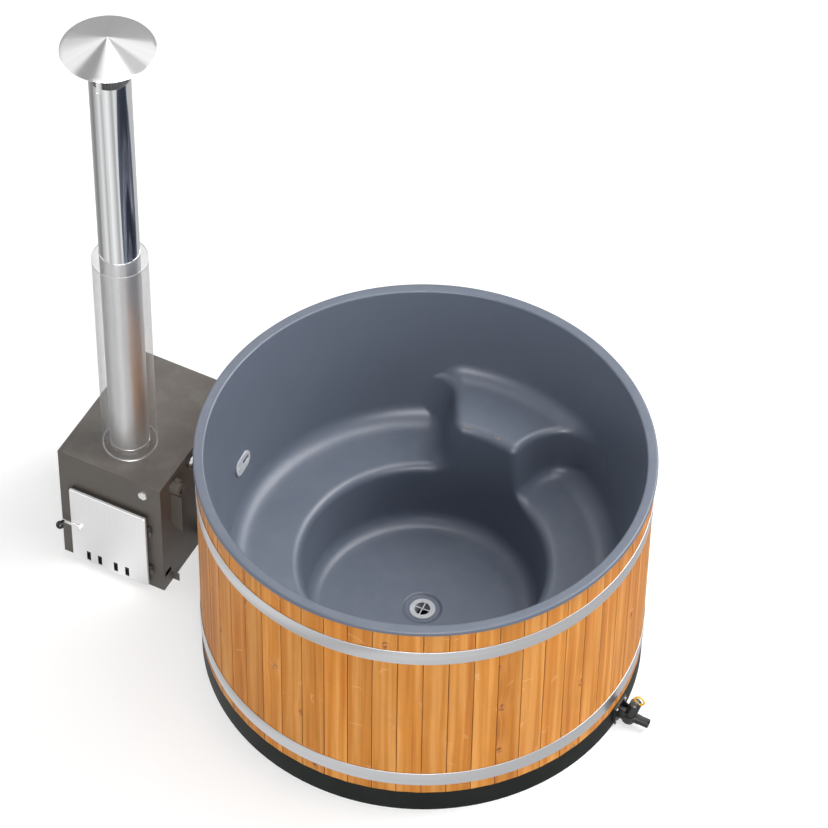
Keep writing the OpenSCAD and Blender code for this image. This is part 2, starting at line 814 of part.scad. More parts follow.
module pull_ring_solid(grow) {
    translate([ring_out, 0, ring_up]) rotate([90, 0, 0]) rotate_extrude($fn = fine)
        translate([ring_d / 2, 0]) circle(r = ring_t / 2 + grow, $fn = 48);
}

module valve_cap() {
    r = valve_post_d / 2;
    color("black") on_valve() difference() {
        translate([0, 0, valve_post_h + seat]) {
            cylinder(r = r, h = cap_dome_h - 12, $fn = fine);
            translate([0, 0, cap_dome_h - 12]) intersection() {
                translate([0, 0, 12 - ((r * r + 144) / 24)])
                    sphere(r = (r * r + 144) / 24, $fn = fine);
                cylinder(r = r, h = 13, $fn = fine);
            }
        }
        pull_ring_solid(0.1);
    }
}

module pull_ring() {
    color("gold") on_valve() pull_ring_solid(0);
}

// Places what follows on the liner's wall at the fitting, +X into the tub, +Z up the wall
module at_fitting() {
    translate([fitting_x, fitting_y, fitting_z]) rotate([0, 0, fitting_turn]) rotate([0, -wall_lean, 0])
        children();
}

module fitting_cover() {
    color("lightgray") at_fitting() difference() {
        translate([cover_x, 0, 0]) rotate([90, 0, 90]) linear_extrude(cover_t) {
            square([cover_w - cover_h, cover_h], center = true);
            for (side = [-1, 1]) translate([side * (cover_w - cover_h) / 2, 0])
                circle(r = cover_h / 2, $fn = fine);
        }
        block([0, 0, -cover_slot_w / 2], [cover_x + cover_t + 1, cover_slot_len, cover_slot_w / 2]);
        translate([0, -cover_screw_y, 0]) rod_x(0, cover_x + cover_t + 1, screw_r + seat);
    }
}

module fitting_screw() {
    color("silver") at_fitting() translate([cover_x, -cover_screw_y, 0]) {
        rod_x(0, cover_t + 1, screw_r);
        rod_x(cover_t, cover_t + screw_head_t, screw_head_r);
    }
}

module fitting_pipe() {
    color("dimgray") difference() {
        translate([0, fitting_y, fitting_z])
            pipe_x(hose_knee0 + 4, fitting_x + 20, pipe_r, pipe_r - water_pipe_wall);
        at_fitting() block([-0.5, -200, -200], [200, 200, 200]);
    }
}

module fitting_nut() {
    color("dimgray") difference() {
        translate([0, fitting_y, fitting_z])
            pipe_x(fitting_x - shell_side - fitting_nut_t, fitting_x, fitting_nut_r, pipe_r);
        rotate_extrude($fn = wide_fine) polygon([[0, bench_z], [wall_r(bench_z) + shell_side + seat, bench_z],
            [wall_r(rim_z) + shell_side + seat, rim_z], [0, rim_z]]);
    }
}

// A quarter bend in the upright plane along X, about its own centre, from one bearing on
module bend(r, bearing) {
    rotate([90, 0, 0]) rotate([0, 0, bearing]) rotate_extrude(angle = 90, $fn = fine)
        translate([hose_bend_r, 0]) circle(r = r, $fn = fine);
}

// The hose's outline: out of the tub, down, and out again to the stove
module hose_form(r, over) {
    translate([0, fitting_y, 0]) {
        translate([0, 0, fitting_z]) rod_x(hose_knee0, hose_x0 + over, r);
        translate([hose_knee0, 0, fitting_z - hose_bend_r]) bend(r, 90);
        translate([hose_knee0 - hose_bend_r, 0, hose_z + hose_bend_r])
            cylinder(r = r, h = fitting_z - hose_z - 2 * hose_bend_r, $fn = fine);
        translate([hose_knee1, 0, hose_z + hose_bend_r]) bend(r, 270);
        translate([0, 0, hose_z]) rod_x(hose_x1 - over, hose_knee1, r);
    }
}

module water_hose() {
    color("black") difference() {
        hose_form(hose_r, 0);
        hose_form(pipe_r + seat / 2, 1);
    }
}

module hose_clamps() {
    color("silver") translate([0, fitting_y, 0]) {
        translate([0, 0, fitting_z]) pipe_x(hose_x0 - 20, hose_x0 - 8, hose_r + 2, hose_r + seat / 2);
        translate([0, 0, hose_z]) pipe_x(hose_x1 + 8, hose_x1 + 20, hose_r + 2, hose_r + seat / 2);
    }
}

// A hole for a pipe through the stove's right side, at a place behind the front and a height
module side_hole(y, z, r) {
    translate([0, y, z]) rod_x(stove_x1 - tank_gap - 20, stove_x1 + 5, r);
}

module return_hole(r) {
    rotate([0, 0, drain_turn]) translate([0, 0, drain_z]) rod_x(tank_x1 - 20, stove_x1 + 30, r);
}

module stove_wrap() {
    color("dimgray") difference() {
        block([stove_x0, stove_y0 + sheet_t, 0], [stove_x1, stove_y1 - sheet_t, stove_h]);
        block([stove_x0 + sheet_t, stove_y0, -1], [stove_x1 - sheet_t, stove_y1, stove_h - sheet_t]);
        translate([flue_x, flue_y, 0]) cylinder(r = collar_r + seat, h = stove_h + 5, $fn = fine);
        side_hole(fitting_y, hose_z, pipe_r + 1);
        side_hole(outlet_y, outlet_z, outlet_r + 1);
        return_hole(drain_pipe_d / 2 + 2);
        translate([casing_screw_x, casing_screw_y, 0])
            cylinder(r = casing_screw_r + seat, h = stove_h + 1, $fn = fine);
        block([stove_x1 - sheet_t - 1, stove_y0 + port_in, port_z],
            [stove_x1 + 1, stove_y0 + port_in + port_w, port_z + port_h]);
    }
}

module stove_front() {
    color("dimgray") difference() {
        union() {
            block([stove_x0, stove_y0, 0], [stove_x1, stove_y0 + sheet_t, stove_h]);
            block([stove_x0 + 2 * sheet_t, stove_y0, stove_h - 2 * sheet_t - seat],
                [stove_x1 - 2 * sheet_t, stove_y0 + fold_d, stove_h - sheet_t - seat]);
        }
        translate([casing_screw_x, casing_screw_y, 0]) cylinder(r = casing_screw_r, h = stove_h, $fn = fine);
        block([hole_x0, stove_y0 - 1, hole_z0], [hole_x1, stove_y0 + sheet_t + 1, hole_z1]);
        translate([plug_x, stove_y0 - 1, plug_z]) rotate([-90, 0, 0])
            cylinder(r = plug_r + seat, h = sheet_t + 2, $fn = fine);
    }
}

module stove_back() {
    color("dimgray") block([stove_x0, stove_y1 - sheet_t, 0], [stove_x1, stove_y1, stove_h]);
}

module stove_floor() {
    color("dimgray") block([stove_x0 + sheet_t, stove_y0 + sheet_t, 0],
        [stove_x1 - sheet_t, stove_y1 - sheet_t, sheet_t]);
}

module tank_bearers() {
    color("dimgray") for (x = [tank_x0 + 40, tank_x1 - 80])
        block([x, tank_y0, sheet_t], [x + 40, tank_y1, tank_z0]);
}

module tank() {
    color("gray") difference() {
        block([tank_x0, tank_y0, tank_z0], [tank_x1, tank_y1, tank_z1]);
        difference() {
            block([tank_x0 + plate_t, tank_y0 + plate_t, tank_z0 + plate_t],
                [tank_x1 - plate_t, tank_y1 - plate_t, tank_z1 - plate_t]);
            translate([plug_x, tank_y0, plug_z]) rotate([-90, 0, 0])
                cylinder(r = plug_r + 5, h = 20, $fn = fine);
        }
        block([fire_x0, tank_y0 - 1, fire_z0], [fire_x1, tank_y0 + plate_t + 1, fire_z1]);
        translate([flue_x, flue_y, tank_z1 - 10]) cylinder(r = collar_r, h = 20, $fn = fine);
        side_hole(fitting_y, hose_z, pipe_r);
        side_hole(outlet_y, outlet_z, outlet_r);
        return_hole(drain_pipe_d / 2);
        translate([plug_x, tank_y0 - 1, plug_z]) rotate([-90, 0, 0]) cylinder(r = plug_r, h = 30, $fn = fine);
    }
}

module firebox() {
    color("gray") difference() {
        union() {
            block([fire_x0, tank_y0, fire_z0], [fire_x1, fire_y1, fire_z1]);
            translate([flue_x, flue_y, fire_z1 - 2])
                cylinder(r = collar_r, h = stove_h + collar_h - fire_z1 + 2, $fn = fine);
        }
        block([fire_x0 + fire_t, tank_y0 - 1, fire_z0 + fire_t],
            [fire_x1 - fire_t, fire_y1 - fire_t, fire_z1 - fire_t]);
        translate([flue_x, flue_y, fire_z1 - 10]) cylinder(r = collar_r - fire_t, h = 400, $fn = fine);
    }
}

module grate_rails() {
    z = fire_z0 + fire_t + fire_grate_z;
    color("gray") for (x = [fire_x0 + fire_t, fire_x1 - fire_t - 14])
        block([x, tank_y0 + 12, z - 5], [x + 14, fire_y1 - fire_t - 12, z]);
}

module fire_grate() {
    z = fire_z0 + fire_t + fire_grate_z;
    x0 = fire_x0 + fire_t + 3;
    x1 = fire_x1 - fire_t - 3;
    y0 = tank_y0 + 14;
    y1 = fire_y1 - fire_t - 14;
    bars = floor((x1 - x0 - grate_bar_t) / (2 * grate_bar_t));
    pitch = (x1 - x0 - grate_bar_t) / bars;
    color("dimgray") {
        for (i = [0 : bars]) block([x0 + i * pitch, y0, z], [x0 + i * pitch + grate_bar_t, y1, z + 14]);
        for (y = [y0, (y0 + y1) / 2 - 8, y1 - 16]) block([x0, y, z], [x1, y + 16, z + 8]);
    }
}

module ash_pan() {
    x0 = fire_x0 + fire_t + 22;
    x1 = fire_x1 - fire_t - 22;
    y0 = tank_y0 + 16;
    y1 = fire_y1 - fire_t - 40;
    z = fire_z0 + fire_t + seat;
    color("darkgray") difference() {
        block([x0, y0, z], [x1, y1, z + fire_grate_z - 27]);
        block([x0 + 2, y0 + 2, z + 2], [x1 - 2, y1 - 2, z + fire_grate_z]);
    }
}

module tank_outlet() {
    color("dimgray") translate([0, fitting_y, hose_z])
        pipe_x(tank_x1 - plate_t, hose_knee1 - 4, pipe_r, pipe_r - water_pipe_wall);
}

module flue() {
    color("silver") translate([flue_x, flue_y, 0]) difference() {
        ring(flue_r - flue_wall, flue_r, stove_h + seat, flue_top);
        block([-notch_w / 2, -flue_r - 5, flue_top - notch_h + notch_w / 2],
            [notch_w / 2, -flue_r / 2, flue_top + 1]);
        translate([0, -flue_r / 2, flue_top - notch_h + notch_w / 2]) rotate([90, 0, 0])
            cylinder(r = notch_w / 2, h = flue_r, $fn = fine);
    }
}

module guard_foot() {
    color("silver") translate([flue_x, flue_y, 0])
        ring(guard_r - guard_wall - seat - 3, guard_r - guard_wall - seat, stove_h + seat,
            stove_h + seat + guard_foot_h);
}

module heat_guard() {
    color("lightgray") translate([flue_x, flue_y, 0])
        ring(guard_r - guard_wall, guard_r, stove_h + seat, stove_h + seat + guard_h);
}

module rain_cap() {
    color("silver") translate([flue_x, flue_y, cap_z]) rotate_extrude($fn = fine) polygon([
        [0, cap_h - cap_t], [cap_d / 2, -cap_t], [cap_d / 2, 0], [0, cap_h]]);
}

module cap_legs() {
    r = flue_r - flue_wall - seat;
    color("silver") translate([flue_x, flue_y, 0]) for (a = leg_bearings) rotate([0, 0, a])
        intersection() {
            difference() {
                block([r / 2, -leg_w / 2, flue_top - leg_depth], [r + 5, leg_w / 2, cap_z + cap_h]);
                cylinder(r = r - leg_t, h = cap_z + cap_h + 5, $fn = fine);
            }
            rotate_extrude($fn = fine) polygon([[0, flue_top - leg_depth], [r, flue_top - leg_depth],
                [r, cap_under(r)], [0, cap_under(0)]]);
        }
}

module hex_plug() {
    color("whitesmoke") translate([plug_x, stove_y0, plug_z]) rotate([-90, 0, 0]) {
        translate([0, 0, -plug_t]) rotate([0, 0, 15])
            cylinder(r = plug_af / 2 / cos(30), h = plug_t, $fn = 6);
        cylinder(r = plug_r - 0.1, h = sheet_t + tongue_room + 22, $fn = fine);
    }
}

module spare_outlet() {
    color("dimgray") translate([0, outlet_y, outlet_z])
        pipe_x(tank_x1 - plate_t, outlet_x, outlet_r, outlet_r - 3);
}

module outlet_clamp() {
    color("gray") translate([0, outlet_y, outlet_z]) difference() {
        union() {
            pipe_x(stove_x1 + 3, outlet_x - 4, clamp_d / 2, outlet_r + seat);
            rotate([clamp_turn, 0, 0]) block([stove_x1 + 12, -clamp_ear_t, outlet_r + 3],
                [outlet_x - 13, clamp_ear_t, clamp_d / 2 + clamp_ear_h]);
        }
        rotate([clamp_turn, 0, 0])
            block([stove_x1, -clamp_slit / 2, 0], [outlet_x + 5, clamp_slit / 2, clamp_d]);
    }
}

// An upright bracket plate that stands out from the stove's right side
module side_plate(y, reach, z_out, z_in, top) {
    translate([0, y, 0]) rotate([90, 0, 0]) linear_extrude(sheet_t) polygon([
        [stove_x1, z_in], [stove_x1 + reach, z_out], [stove_x1 + reach, top], [stove_x1, top]]);
}

module side_brackets() {
    color("dimgray") {
        side_plate(bracket_y, outlet_reach, bracket_z, bracket_z + bracket_rise,
            outlet_z - clamp_d / 2 - bracket_room);
        side_plate(low_bracket_y, low_bracket_reach, 0, 0, low_bracket_h);
    }
}

module casing_screw() {
    color("gray") translate([casing_screw_x, casing_screw_y, 0]) {
        translate([0, 0, stove_h - casing_screw_len])
            cylinder(r = casing_screw_r, h = casing_screw_len, $fn = fine);
        translate([0, 0, stove_h]) cylinder(r = 2 * casing_screw_r, h = 2, $fn = fine);
    }
}

module hinge_knuckles() {
    color("dimgray") for (z = hinge_zs) difference() {
        union() {
            translate([pin_x, pin_y, z]) cylinder(r = knuckle_r, h = knuckle_h, $fn = fine);
            block([pin_x - 4, pin_y, z], [pin_x + 4, stove_y0, z + knuckle_h]);
        }
        translate([pin_x, pin_y, z + 2]) cylinder(r = pin_r, h = knuckle_h, $fn = fine);
    }
}

module hinge_pins() {
    color("silver") for (z = hinge_zs) translate([pin_x, pin_y, z + 2])
        cylinder(r = pin_r, h = 2 * knuckle_h - 2, $fn = fine);
}

module door() {
    color("gainsboro") {
        difference() {
            block([door_x0, door_y0, door_z], [door_x1, door_y1, door_z1]);
            block([door_x0 + door_sheet_t, door_y0 + door_sheet_t, door_z + door_sheet_t],
                [door_x1 - door_sheet_t, door_y1 + 1, door_z1 - door_sheet_t]);
            for (x = slot_xs) block([stove_x + x - slot_w / 2, door_y0 - 1, door_z + slot_z - slot_h / 2],
                [stove_x + x + slot_w / 2, door_y0 + door_sheet_t + 1, door_z + slot_z + slot_h / 2]);
            translate([latch_x, door_y0 - 1, latch_z]) rotate([-90, 0, 0])
                cylinder(r = latch_r + run, h = door_sheet_t + 2, $fn = fine);
        }
        for (z = hinge_zs) difference() {
            union() {
                translate([pin_x, pin_y, z + knuckle_h + seat])
                    cylinder(r = knuckle_r, h = knuckle_h, $fn = fine);
                block([door_x1 - 1, pin_y - knuckle_r, z + knuckle_h + seat],
                    [pin_x, pin_y - knuckle_r + 5, z + 2 * knuckle_h + seat]);
            }
            translate([pin_x, pin_y, z]) cylinder(r = pin_r + run, h = 4 * knuckle_h, $fn = fine);
        }
    }
}

module door_seal() {
    x0 = door_x0 + seal_in;
    x1 = door_x1 - seal_in;
    z0 = door_z + seal_in;
    z1 = door_z1 - seal_in;
    color("white") difference() {
        block([x0, stove_y0 - seal_t, z0], [x1, stove_y0 - seat, z1]);
        block([x0 + seal_w, stove_y0 - seal_t - 1, z0 + seal_w], [x1 - seal_w, stove_y0 + 1, z1 - seal_w]);
    }
}

module latch() {
    color("silver") translate([latch_x, 0, latch_z]) {
        translate([0, latch_bar_y, 0]) rotate([-90, 0, 0]) {
            cylinder(r = latch_r, h = tongue_y0 - latch_bar_y + 1, $fn = fine);
            cylinder(r = latch_bar_w / 2, h = latch_bar_t, $fn = fine);
            translate([0, 0, latch_bar_t + 0.2]) cylinder(r = latch_bar_w / 2 + 2, h = 1.5, $fn = fine);
        }
        block([-latch_len - knob_pin_r, latch_bar_y, -latch_bar_w / 2],
            [0, latch_bar_y + latch_bar_t, latch_bar_w / 2]);
        block([-tongue_w / 2, tongue_y0, -latch_r], [tongue_w / 2, tongue_y0 + tongue_t, tongue_len]);
        translate([-latch_len, latch_bar_y - knob_pin_len, 0]) rotate([-90, 0, 0])
            cylinder(r = knob_pin_r, h = knob_pin_len + 1, $fn = fine);
    }
}

module latch_knob() {
    color("black") difference() {
        union() {
            translate([knob_x, knob_y, latch_z]) sphere(r = knob_d / 2, $fn = fine);
            translate([knob_x, latch_bar_y, latch_z]) rotate([90, 0, 0])
                cylinder(r = latch_bar_w / 2, h = knob_neck + knob_d / 4, $fn = fine);
        }
        translate([knob_x, latch_bar_y - knob_pin_len, latch_z]) rotate([-90, 0, 0])
            cylinder(r = knob_pin_r, h = 2 * knob_pin_len, $fn = fine);
    }
}

liner();
staves();
hoop_upper();
hoop_lower();
hoop_lugs();
hoop_bolts();
hoop_nuts();
wall_insulation();
base_band();
ground_boards();
joists();
deck();
floor_insulation();
props();
drain_flange();
drain_grate();
drain_gasket();
drain_nut();
drain_tee();
drain_pipe();
return_pipe();
valve_gasket();
valve_body();
valve_screws();
valve_plunger();
valve_cap();
pull_ring();
fitting_cover();
fitting_screw();
fitting_pipe();
fitting_nut();
water_hose();
hose_clamps();
stove_wrap();
stove_front();
stove_back();
stove_floor();
tank_bearers();
tank();
firebox();
grate_rails();
fire_grate();
ash_pan();
tank_outlet();
flue();
guard_foot();
heat_guard();
rain_cap();
cap_legs();
hex_plug();
spare_outlet();
outlet_clamp();
side_brackets();
casing_screw();
hinge_knuckles();
hinge_pins();
door();
door_seal();
latch();
latch_knob();
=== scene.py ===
import json
import math

import bmesh
import bpy
import numpy as np
from mathutils import Matrix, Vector
from mathutils.geometry import tessellate_polygon


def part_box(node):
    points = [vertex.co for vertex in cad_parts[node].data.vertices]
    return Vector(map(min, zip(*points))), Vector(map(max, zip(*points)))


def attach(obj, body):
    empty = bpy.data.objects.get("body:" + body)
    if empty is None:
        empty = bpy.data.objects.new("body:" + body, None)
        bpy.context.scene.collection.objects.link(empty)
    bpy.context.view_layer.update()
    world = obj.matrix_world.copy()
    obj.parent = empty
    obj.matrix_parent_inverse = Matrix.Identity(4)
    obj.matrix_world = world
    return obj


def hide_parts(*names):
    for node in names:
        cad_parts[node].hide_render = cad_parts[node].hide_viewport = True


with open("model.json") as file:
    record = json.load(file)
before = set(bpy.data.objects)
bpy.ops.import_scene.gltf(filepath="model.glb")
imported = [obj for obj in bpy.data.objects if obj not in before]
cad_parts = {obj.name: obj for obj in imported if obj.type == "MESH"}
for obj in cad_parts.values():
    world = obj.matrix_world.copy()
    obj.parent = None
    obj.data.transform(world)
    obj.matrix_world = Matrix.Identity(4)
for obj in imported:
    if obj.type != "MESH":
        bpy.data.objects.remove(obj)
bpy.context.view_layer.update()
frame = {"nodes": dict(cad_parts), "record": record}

# A hot tub of pine staves round a moulded liner, with a stove and its flue beside it.
# All lengths are in metres. The tub's axis is the Z axis, the stove stands on the -X side.

NODES = frame["nodes"]
TUB = "tub_and_stove"
SEED = 7

rim_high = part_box("liner")[1]
RIM_R = rim_high[0]
RIM_Z = rim_high[2]

# The liner's own sizes
RIM_W = 0.042
SKIRT_H = 0.020
SHELL = 0.006
WALL_LEAN = math.radians(8.5)
BENCH_Z = 0.460
WELL_Z = 0.158
WELL_R = 0.465
RISER_LEAN = math.radians(5.3)
DRAIN_HOLE_R = 0.0383
DISH_R = 0.080
DISH_H = 0.009
STEP_Z = 0.700
STEP_LEFT_AT = (-0.151, 0.570)
STEP_LEFT_TURN = math.radians(118)
STEP_LEFT_LEAN = math.radians(12.6)
SCALLOP_AT = (0.400, 0.505)
SCALLOP_R = 0.222
SCALLOP_TURN = math.radians(-138.8)
SCALLOP_LEAN = math.radians(12.6)

# The radii of the liner's rounds, from the drain's dish up to the wall
DISH_ROUND = 0.003
DISH_EDGE = 0.004
FLOOR_ROUND = 0.062
BENCH_EDGE = 0.040
STEP_FOOT = 0.050
STEP_EDGE = 0.030
STEP_CORNER = 0.012
STEP_FLARE = 0.10
WALL_ROUND = 0.062
WALL_ROUND_WIDER = 0.018
RIM_INNER_EDGE = 0.009
RIM_OUTER_EDGE = 0.007

# The staves: the radii of their faces and backs, the cover of one, and where the ring starts
STAVE_OUT = 0.895
STAVE_IN = 0.868
STAVE_COVER = 0.0976
STAVE_START = math.radians(115.55)
STAVE_TURN = 2 * math.asin(STAVE_COVER / 2 / STAVE_OUT)
STAVE_N = int(2 * math.pi / STAVE_TURN - 0.3)
SEAM = STAVE_START - (2 * math.pi - STAVE_N * STAVE_TURN) / 2

# The hoops: how far they lie off the staves, their sheet, and half of the opening in them at the seam
HOOP_OFF = 0.0003
HOOP_SHEET = 0.0022
HOOP_HALF_OPEN = 0.012

# The flue's axis, its radius, the height of its lower edge and of its joint
FLUE_AT = (-1.2745, -0.114)
FLUE_R = 0.080
FLUE_FOOT_EDGE = 0.647
FLUE_JOINT = 1.722

# The heat guard: its sheet, the radius of its curled edges, the plain hem next to them, and its holes
GUARD_SHEET = 0.0002
GUARD_BEAD = 0.0005
GUARD_HEM = 0.006
GUARD_PITCH = 0.0040
GUARD_HOLE_R = 0.00184
GUARD_HOLES_ROUND = round(2 * math.pi * 0.111 / GUARD_PITCH)

# The door, its slots and its hinges, and the wall fitting
DOOR_X = (-1.4475, -1.0935)
DOOR_Y = (-0.328, -0.300)
DOOR_Z = (0.028, 0.442)
DOOR_FOLD = 0.012
DOOR_SHEET = 0.002
SLOT_XS = (-1.371, -1.3185, -1.244, -1.1905)
SLOT_HALF = 0.0095
SLOT_Z = (0.0395, 0.0925)
SEAL_Y = -0.3072
PIN_AT = (-1.0845, -0.306)
HINGE_ZS = (0.090, 0.328)
LATCH_AT = (-1.4015, -0.3362, 0.234)
FITTING_AT = (-0.7945, -0.0540, 0.677)
FITTING_TURN = math.atan2(0.0540, 0.7945)

# The camera: its place, how far it is turned round the tub, tipped down and rolled, and its lens in mm
CAMERA_AT = (4.8145, -9.7415, 13.4341)
CAMERA_TURN, CAMERA_TIP, CAMERA_ROLL = (math.radians(degrees) for degrees in (26.553, 48.086, 1.013))
LENS = 184.3
SENSOR = 36.0

# The studio. FRONT_BEARING points from the photograph's side towards the tub. A lamp has a name, a
# bearing and a height in degrees, its power and its width. The lists of greys are (place, brightness).
FRONT_BEARING = math.pi / 2 + CAMERA_TURN
LAMPS = [("key", 45, 50, 500, 4.0), ("high", 10, 70, 240, 4.0), ("front", 296, 18, 385, 4.0),
         ("left", 200, 18, 141, 4.0), ("right", 22, 27, 95, 4.0), ("top", 0, 89, 125, 4.0),
         ("back", 135, 50, 80, 4.0)]
SHEEN_LAMPS = [("sheen_front", 294, 30, 700, 9.0), ("sheen_side", 58, 31, 660, 9.0)]
LAMP_TALL = 4.0
SHEEN_TALL = 2.5
LAMP_AWAY = 9.0
ROOM_LIGHT = 0.06
MIRROR_LIGHT = 1.1
FLOOR_REACH = 40.0
FLOOR_Z = -0.0006
FLOOR_SHADE = 0.58
FLOOR_LIFT = 0.57
# Painted reflections: the greys that metal sees in the floor, by bearing round the flue's foot
PAINTED_REFLECTION_FANS = [(0.0, 0.52), (0.083, 0.44), (0.194, 0.26), (0.328, 0.82), (0.378, 0.52), (0.444, 0.98),
              (0.533, 0.48), (0.556, 0.82), (0.590, 0.74), (0.64, 0.64), (0.80, 0.55), (0.93, 0.55)]
LEFT_WALL = [(0.0, 0.36), (0.28, 0.36), (0.46, 0.62), (0.56, 0.74), (0.61, 0.86), (0.83, 0.85), (0.86, 0.32),
             (0.955, 0.29), (0.98, 0.93)]
RIGHT_WALL = [(0.0, 0.36), (0.45, 0.40), (0.54, 0.88), (0.78, 0.90), (0.82, 0.52), (0.92, 0.50),
              (0.96, 0.93)]


# ---------------------------------------------------------------- camera, floor and light

def set_camera():
    """A long lens, turned round the tub, tipped down and rolled a little, as the photograph has it."""
    data = bpy.data.cameras.new("camera")
    data.sensor_width = SENSOR
    data.lens = LENS
    data.clip_end = 60.0
    camera = bpy.data.objects.new("camera", data)
    turn = (Matrix.Rotation(CAMERA_TURN, 4, "Z") @ Matrix.Rotation(math.pi / 2 - CAMERA_TIP, 4, "X")
            @ Matrix.Rotation(CAMERA_ROLL, 4, "Z"))
    camera.matrix_world = Matrix.Translation(CAMERA_AT) @ turn
    bpy.context.scene.collection.objects.link(camera)
    bpy.context.scene.camera = camera


def put(tree, kind, sockets=(), **settings):
    """Adds a node to a tree. Each socket takes a plain value or another node's output."""
    node = tree.nodes.new(kind)
    for key, value in settings.items():
        setattr(node, key, value)
    for key, value in dict(sockets).items():
        if isinstance(value, bpy.types.NodeSocket):
            tree.links.new(value, node.inputs[key])
        else:
            node.inputs[key].default_value = value
    return node


def calc(tree, kind, *values):
    """A Math node's output."""
    return put(tree, "ShaderNodeMath", dict(enumerate(values)), operation=kind).outputs[0]


def times(tree, first, *others):
    """The product of two or more values."""
    for value in others:
        first = calc(tree, "MULTIPLY", first, value)
    return first


def minus(tree, first, second):
    """The first value less the second."""
    return calc(tree, "SUBTRACT", first, second)


def length(tree, x, y):
    """The square root of x squared plus y squared."""
    return calc(tree, "SQRT", calc(tree, "ADD", times(tree, x, x), times(tree, y, y)))


def split(tree, place):
    """The three parts of a place."""
    return put(tree, "ShaderNodeSeparateXYZ", {0: place}).outputs


def join(tree, *parts):
    """A place made of two or three parts."""
    return put(tree, "ShaderNodeCombineXYZ", dict(enumerate(parts))).outputs[0]


def object_place(tree):
    """The place on the piece in metres."""
    return put(tree, "ShaderNodeTexCoord").outputs["Object"]


def attribute(tree, name):
    """A number that the mesh carries at each point."""
    return put(tree, "ShaderNodeAttribute", attribute_name=name).outputs["Fac"]


def ease(tree, value, low, high, start=0.0, end=1.0):
    """Goes smoothly from start to end while the value goes from low to high."""
    sockets = {"Value": value, "From Min": low, "From Max": high, "To Min": start, "To Max": end}
    return put(tree, "ShaderNodeMapRange", sockets, interpolation_type="SMOOTHSTEP").outputs[0]


def tint(tree, share, first, second, way="MIX"):
    """Mixes two colours by a share."""
    return put(tree, "ShaderNodeMix", {0: share, 6: first, 7: second}, data_type="RGBA",
               blend_type=way).outputs[2]


def blended(tree, share, first, second):
    """A Mix Shader node between two shader nodes."""
    return put(tree, "ShaderNodeMixShader", {0: share, 1: first.outputs[0], 2: second.outputs[0]})


def painted_floor_reflection(tree):
    """Painted reflections: the floor's brightness as metal sees it, soft grey and white fans laid out by
    bearing round the flue's foot, which glow without light and which the lens never sees. The bearing is
    arctan(y / x) about the flue."""
    apart = split(tree, object_place(tree))
    east, north = (minus(tree, apart[i], FLUE_AT[i]) for i in (0, 1))
    turn = FRONT_BEARING - math.pi
    ahead = calc(tree, "ADD", times(tree, east, math.cos(turn)), times(tree, north, math.sin(turn)))
    aside = minus(tree, times(tree, north, math.cos(turn)), times(tree, east, math.sin(turn)))
    bearing = calc(tree, "DIVIDE", calc(tree, "ARCTAN2", aside, ahead), 2 * math.pi)
    return grey_fan(tree, calc(tree, "ADD", bearing, 0.5), PAINTED_REFLECTION_FANS)


def grey_fan(tree, share, stops):
    """A grey that follows a value from 0 to 1 through a list of (place, brightness)."""
    fan = put(tree, "ShaderNodeValToRGB", {0: share})
    fan.color_ramp.interpolation = "EASE"
    marks = fan.color_ramp.elements
    for mark, (at, grey) in zip(marks, (stops[0], stops[-1])):
        mark.position = at
        mark.color = (grey, grey, grey, 1)
    for at, grey in stops[1:-1]:
        marks.new(at).color = (grey, grey, grey, 1)
    return fan.outputs[0]


def lay_floor():
    """A wide pale floor. Light meets it as matt paper. To the lens it keeps the shadows and is lifted to
    white, and to metal it shows painted reflections: fans of grey that glow without light."""
    mesh = bpy.data.meshes.new("floor")
    corners = [(-1, -1), (1, -1), (1, 1), (-1, 1)]
    mesh.from_pydata([(x * FLOOR_REACH, y * FLOOR_REACH, FLOOR_Z) for x, y in corners], [], [(0, 1, 2, 3)])
    floor = bpy.data.objects.new("floor", mesh)
    bpy.context.scene.collection.objects.link(floor)
    mat = bpy.data.materials.new("floor_paper")
    mat.use_nodes = True
    tree = mat.node_tree
    tree.nodes.clear()
    path = put(tree, "ShaderNodeLightPath").outputs
    seen = calc(tree, "MAXIMUM", path["Is Camera Ray"], path["Is Transmission Ray"])
    matt = put(tree, "ShaderNodeBsdfDiffuse", {"Color": (0.80, 0.80, 0.80, 1)})
    shaded = put(tree, "ShaderNodeBsdfDiffuse", {"Color": (FLOOR_SHADE, FLOOR_SHADE, FLOOR_SHADE, 1)})
    away = put(tree, "ShaderNodeVectorMath", {0: object_place(tree)}, operation="LENGTH").outputs["Value"]
    lift = put(tree, "ShaderNodeEmission", {"Strength": ease(tree, away, 3.0, 8.0, FLOOR_LIFT, 1.0)})
    white = put(tree, "ShaderNodeAddShader", {0: shaded.outputs[0], 1: lift.outputs[0]})
    # Painted reflections: the floor glows with grey fans for glossy rays only
    fans = put(tree, "ShaderNodeEmission", {"Color": painted_floor_reflection(tree), "Strength": 1.0})
    first = blended(tree, seen, matt, white)
    last = blended(tree, path["Is Glossy Ray"], first, fans)
    put(tree, "ShaderNodeOutputMaterial", {"Surface": last.outputs[0]})
    mesh.materials.append(mat)


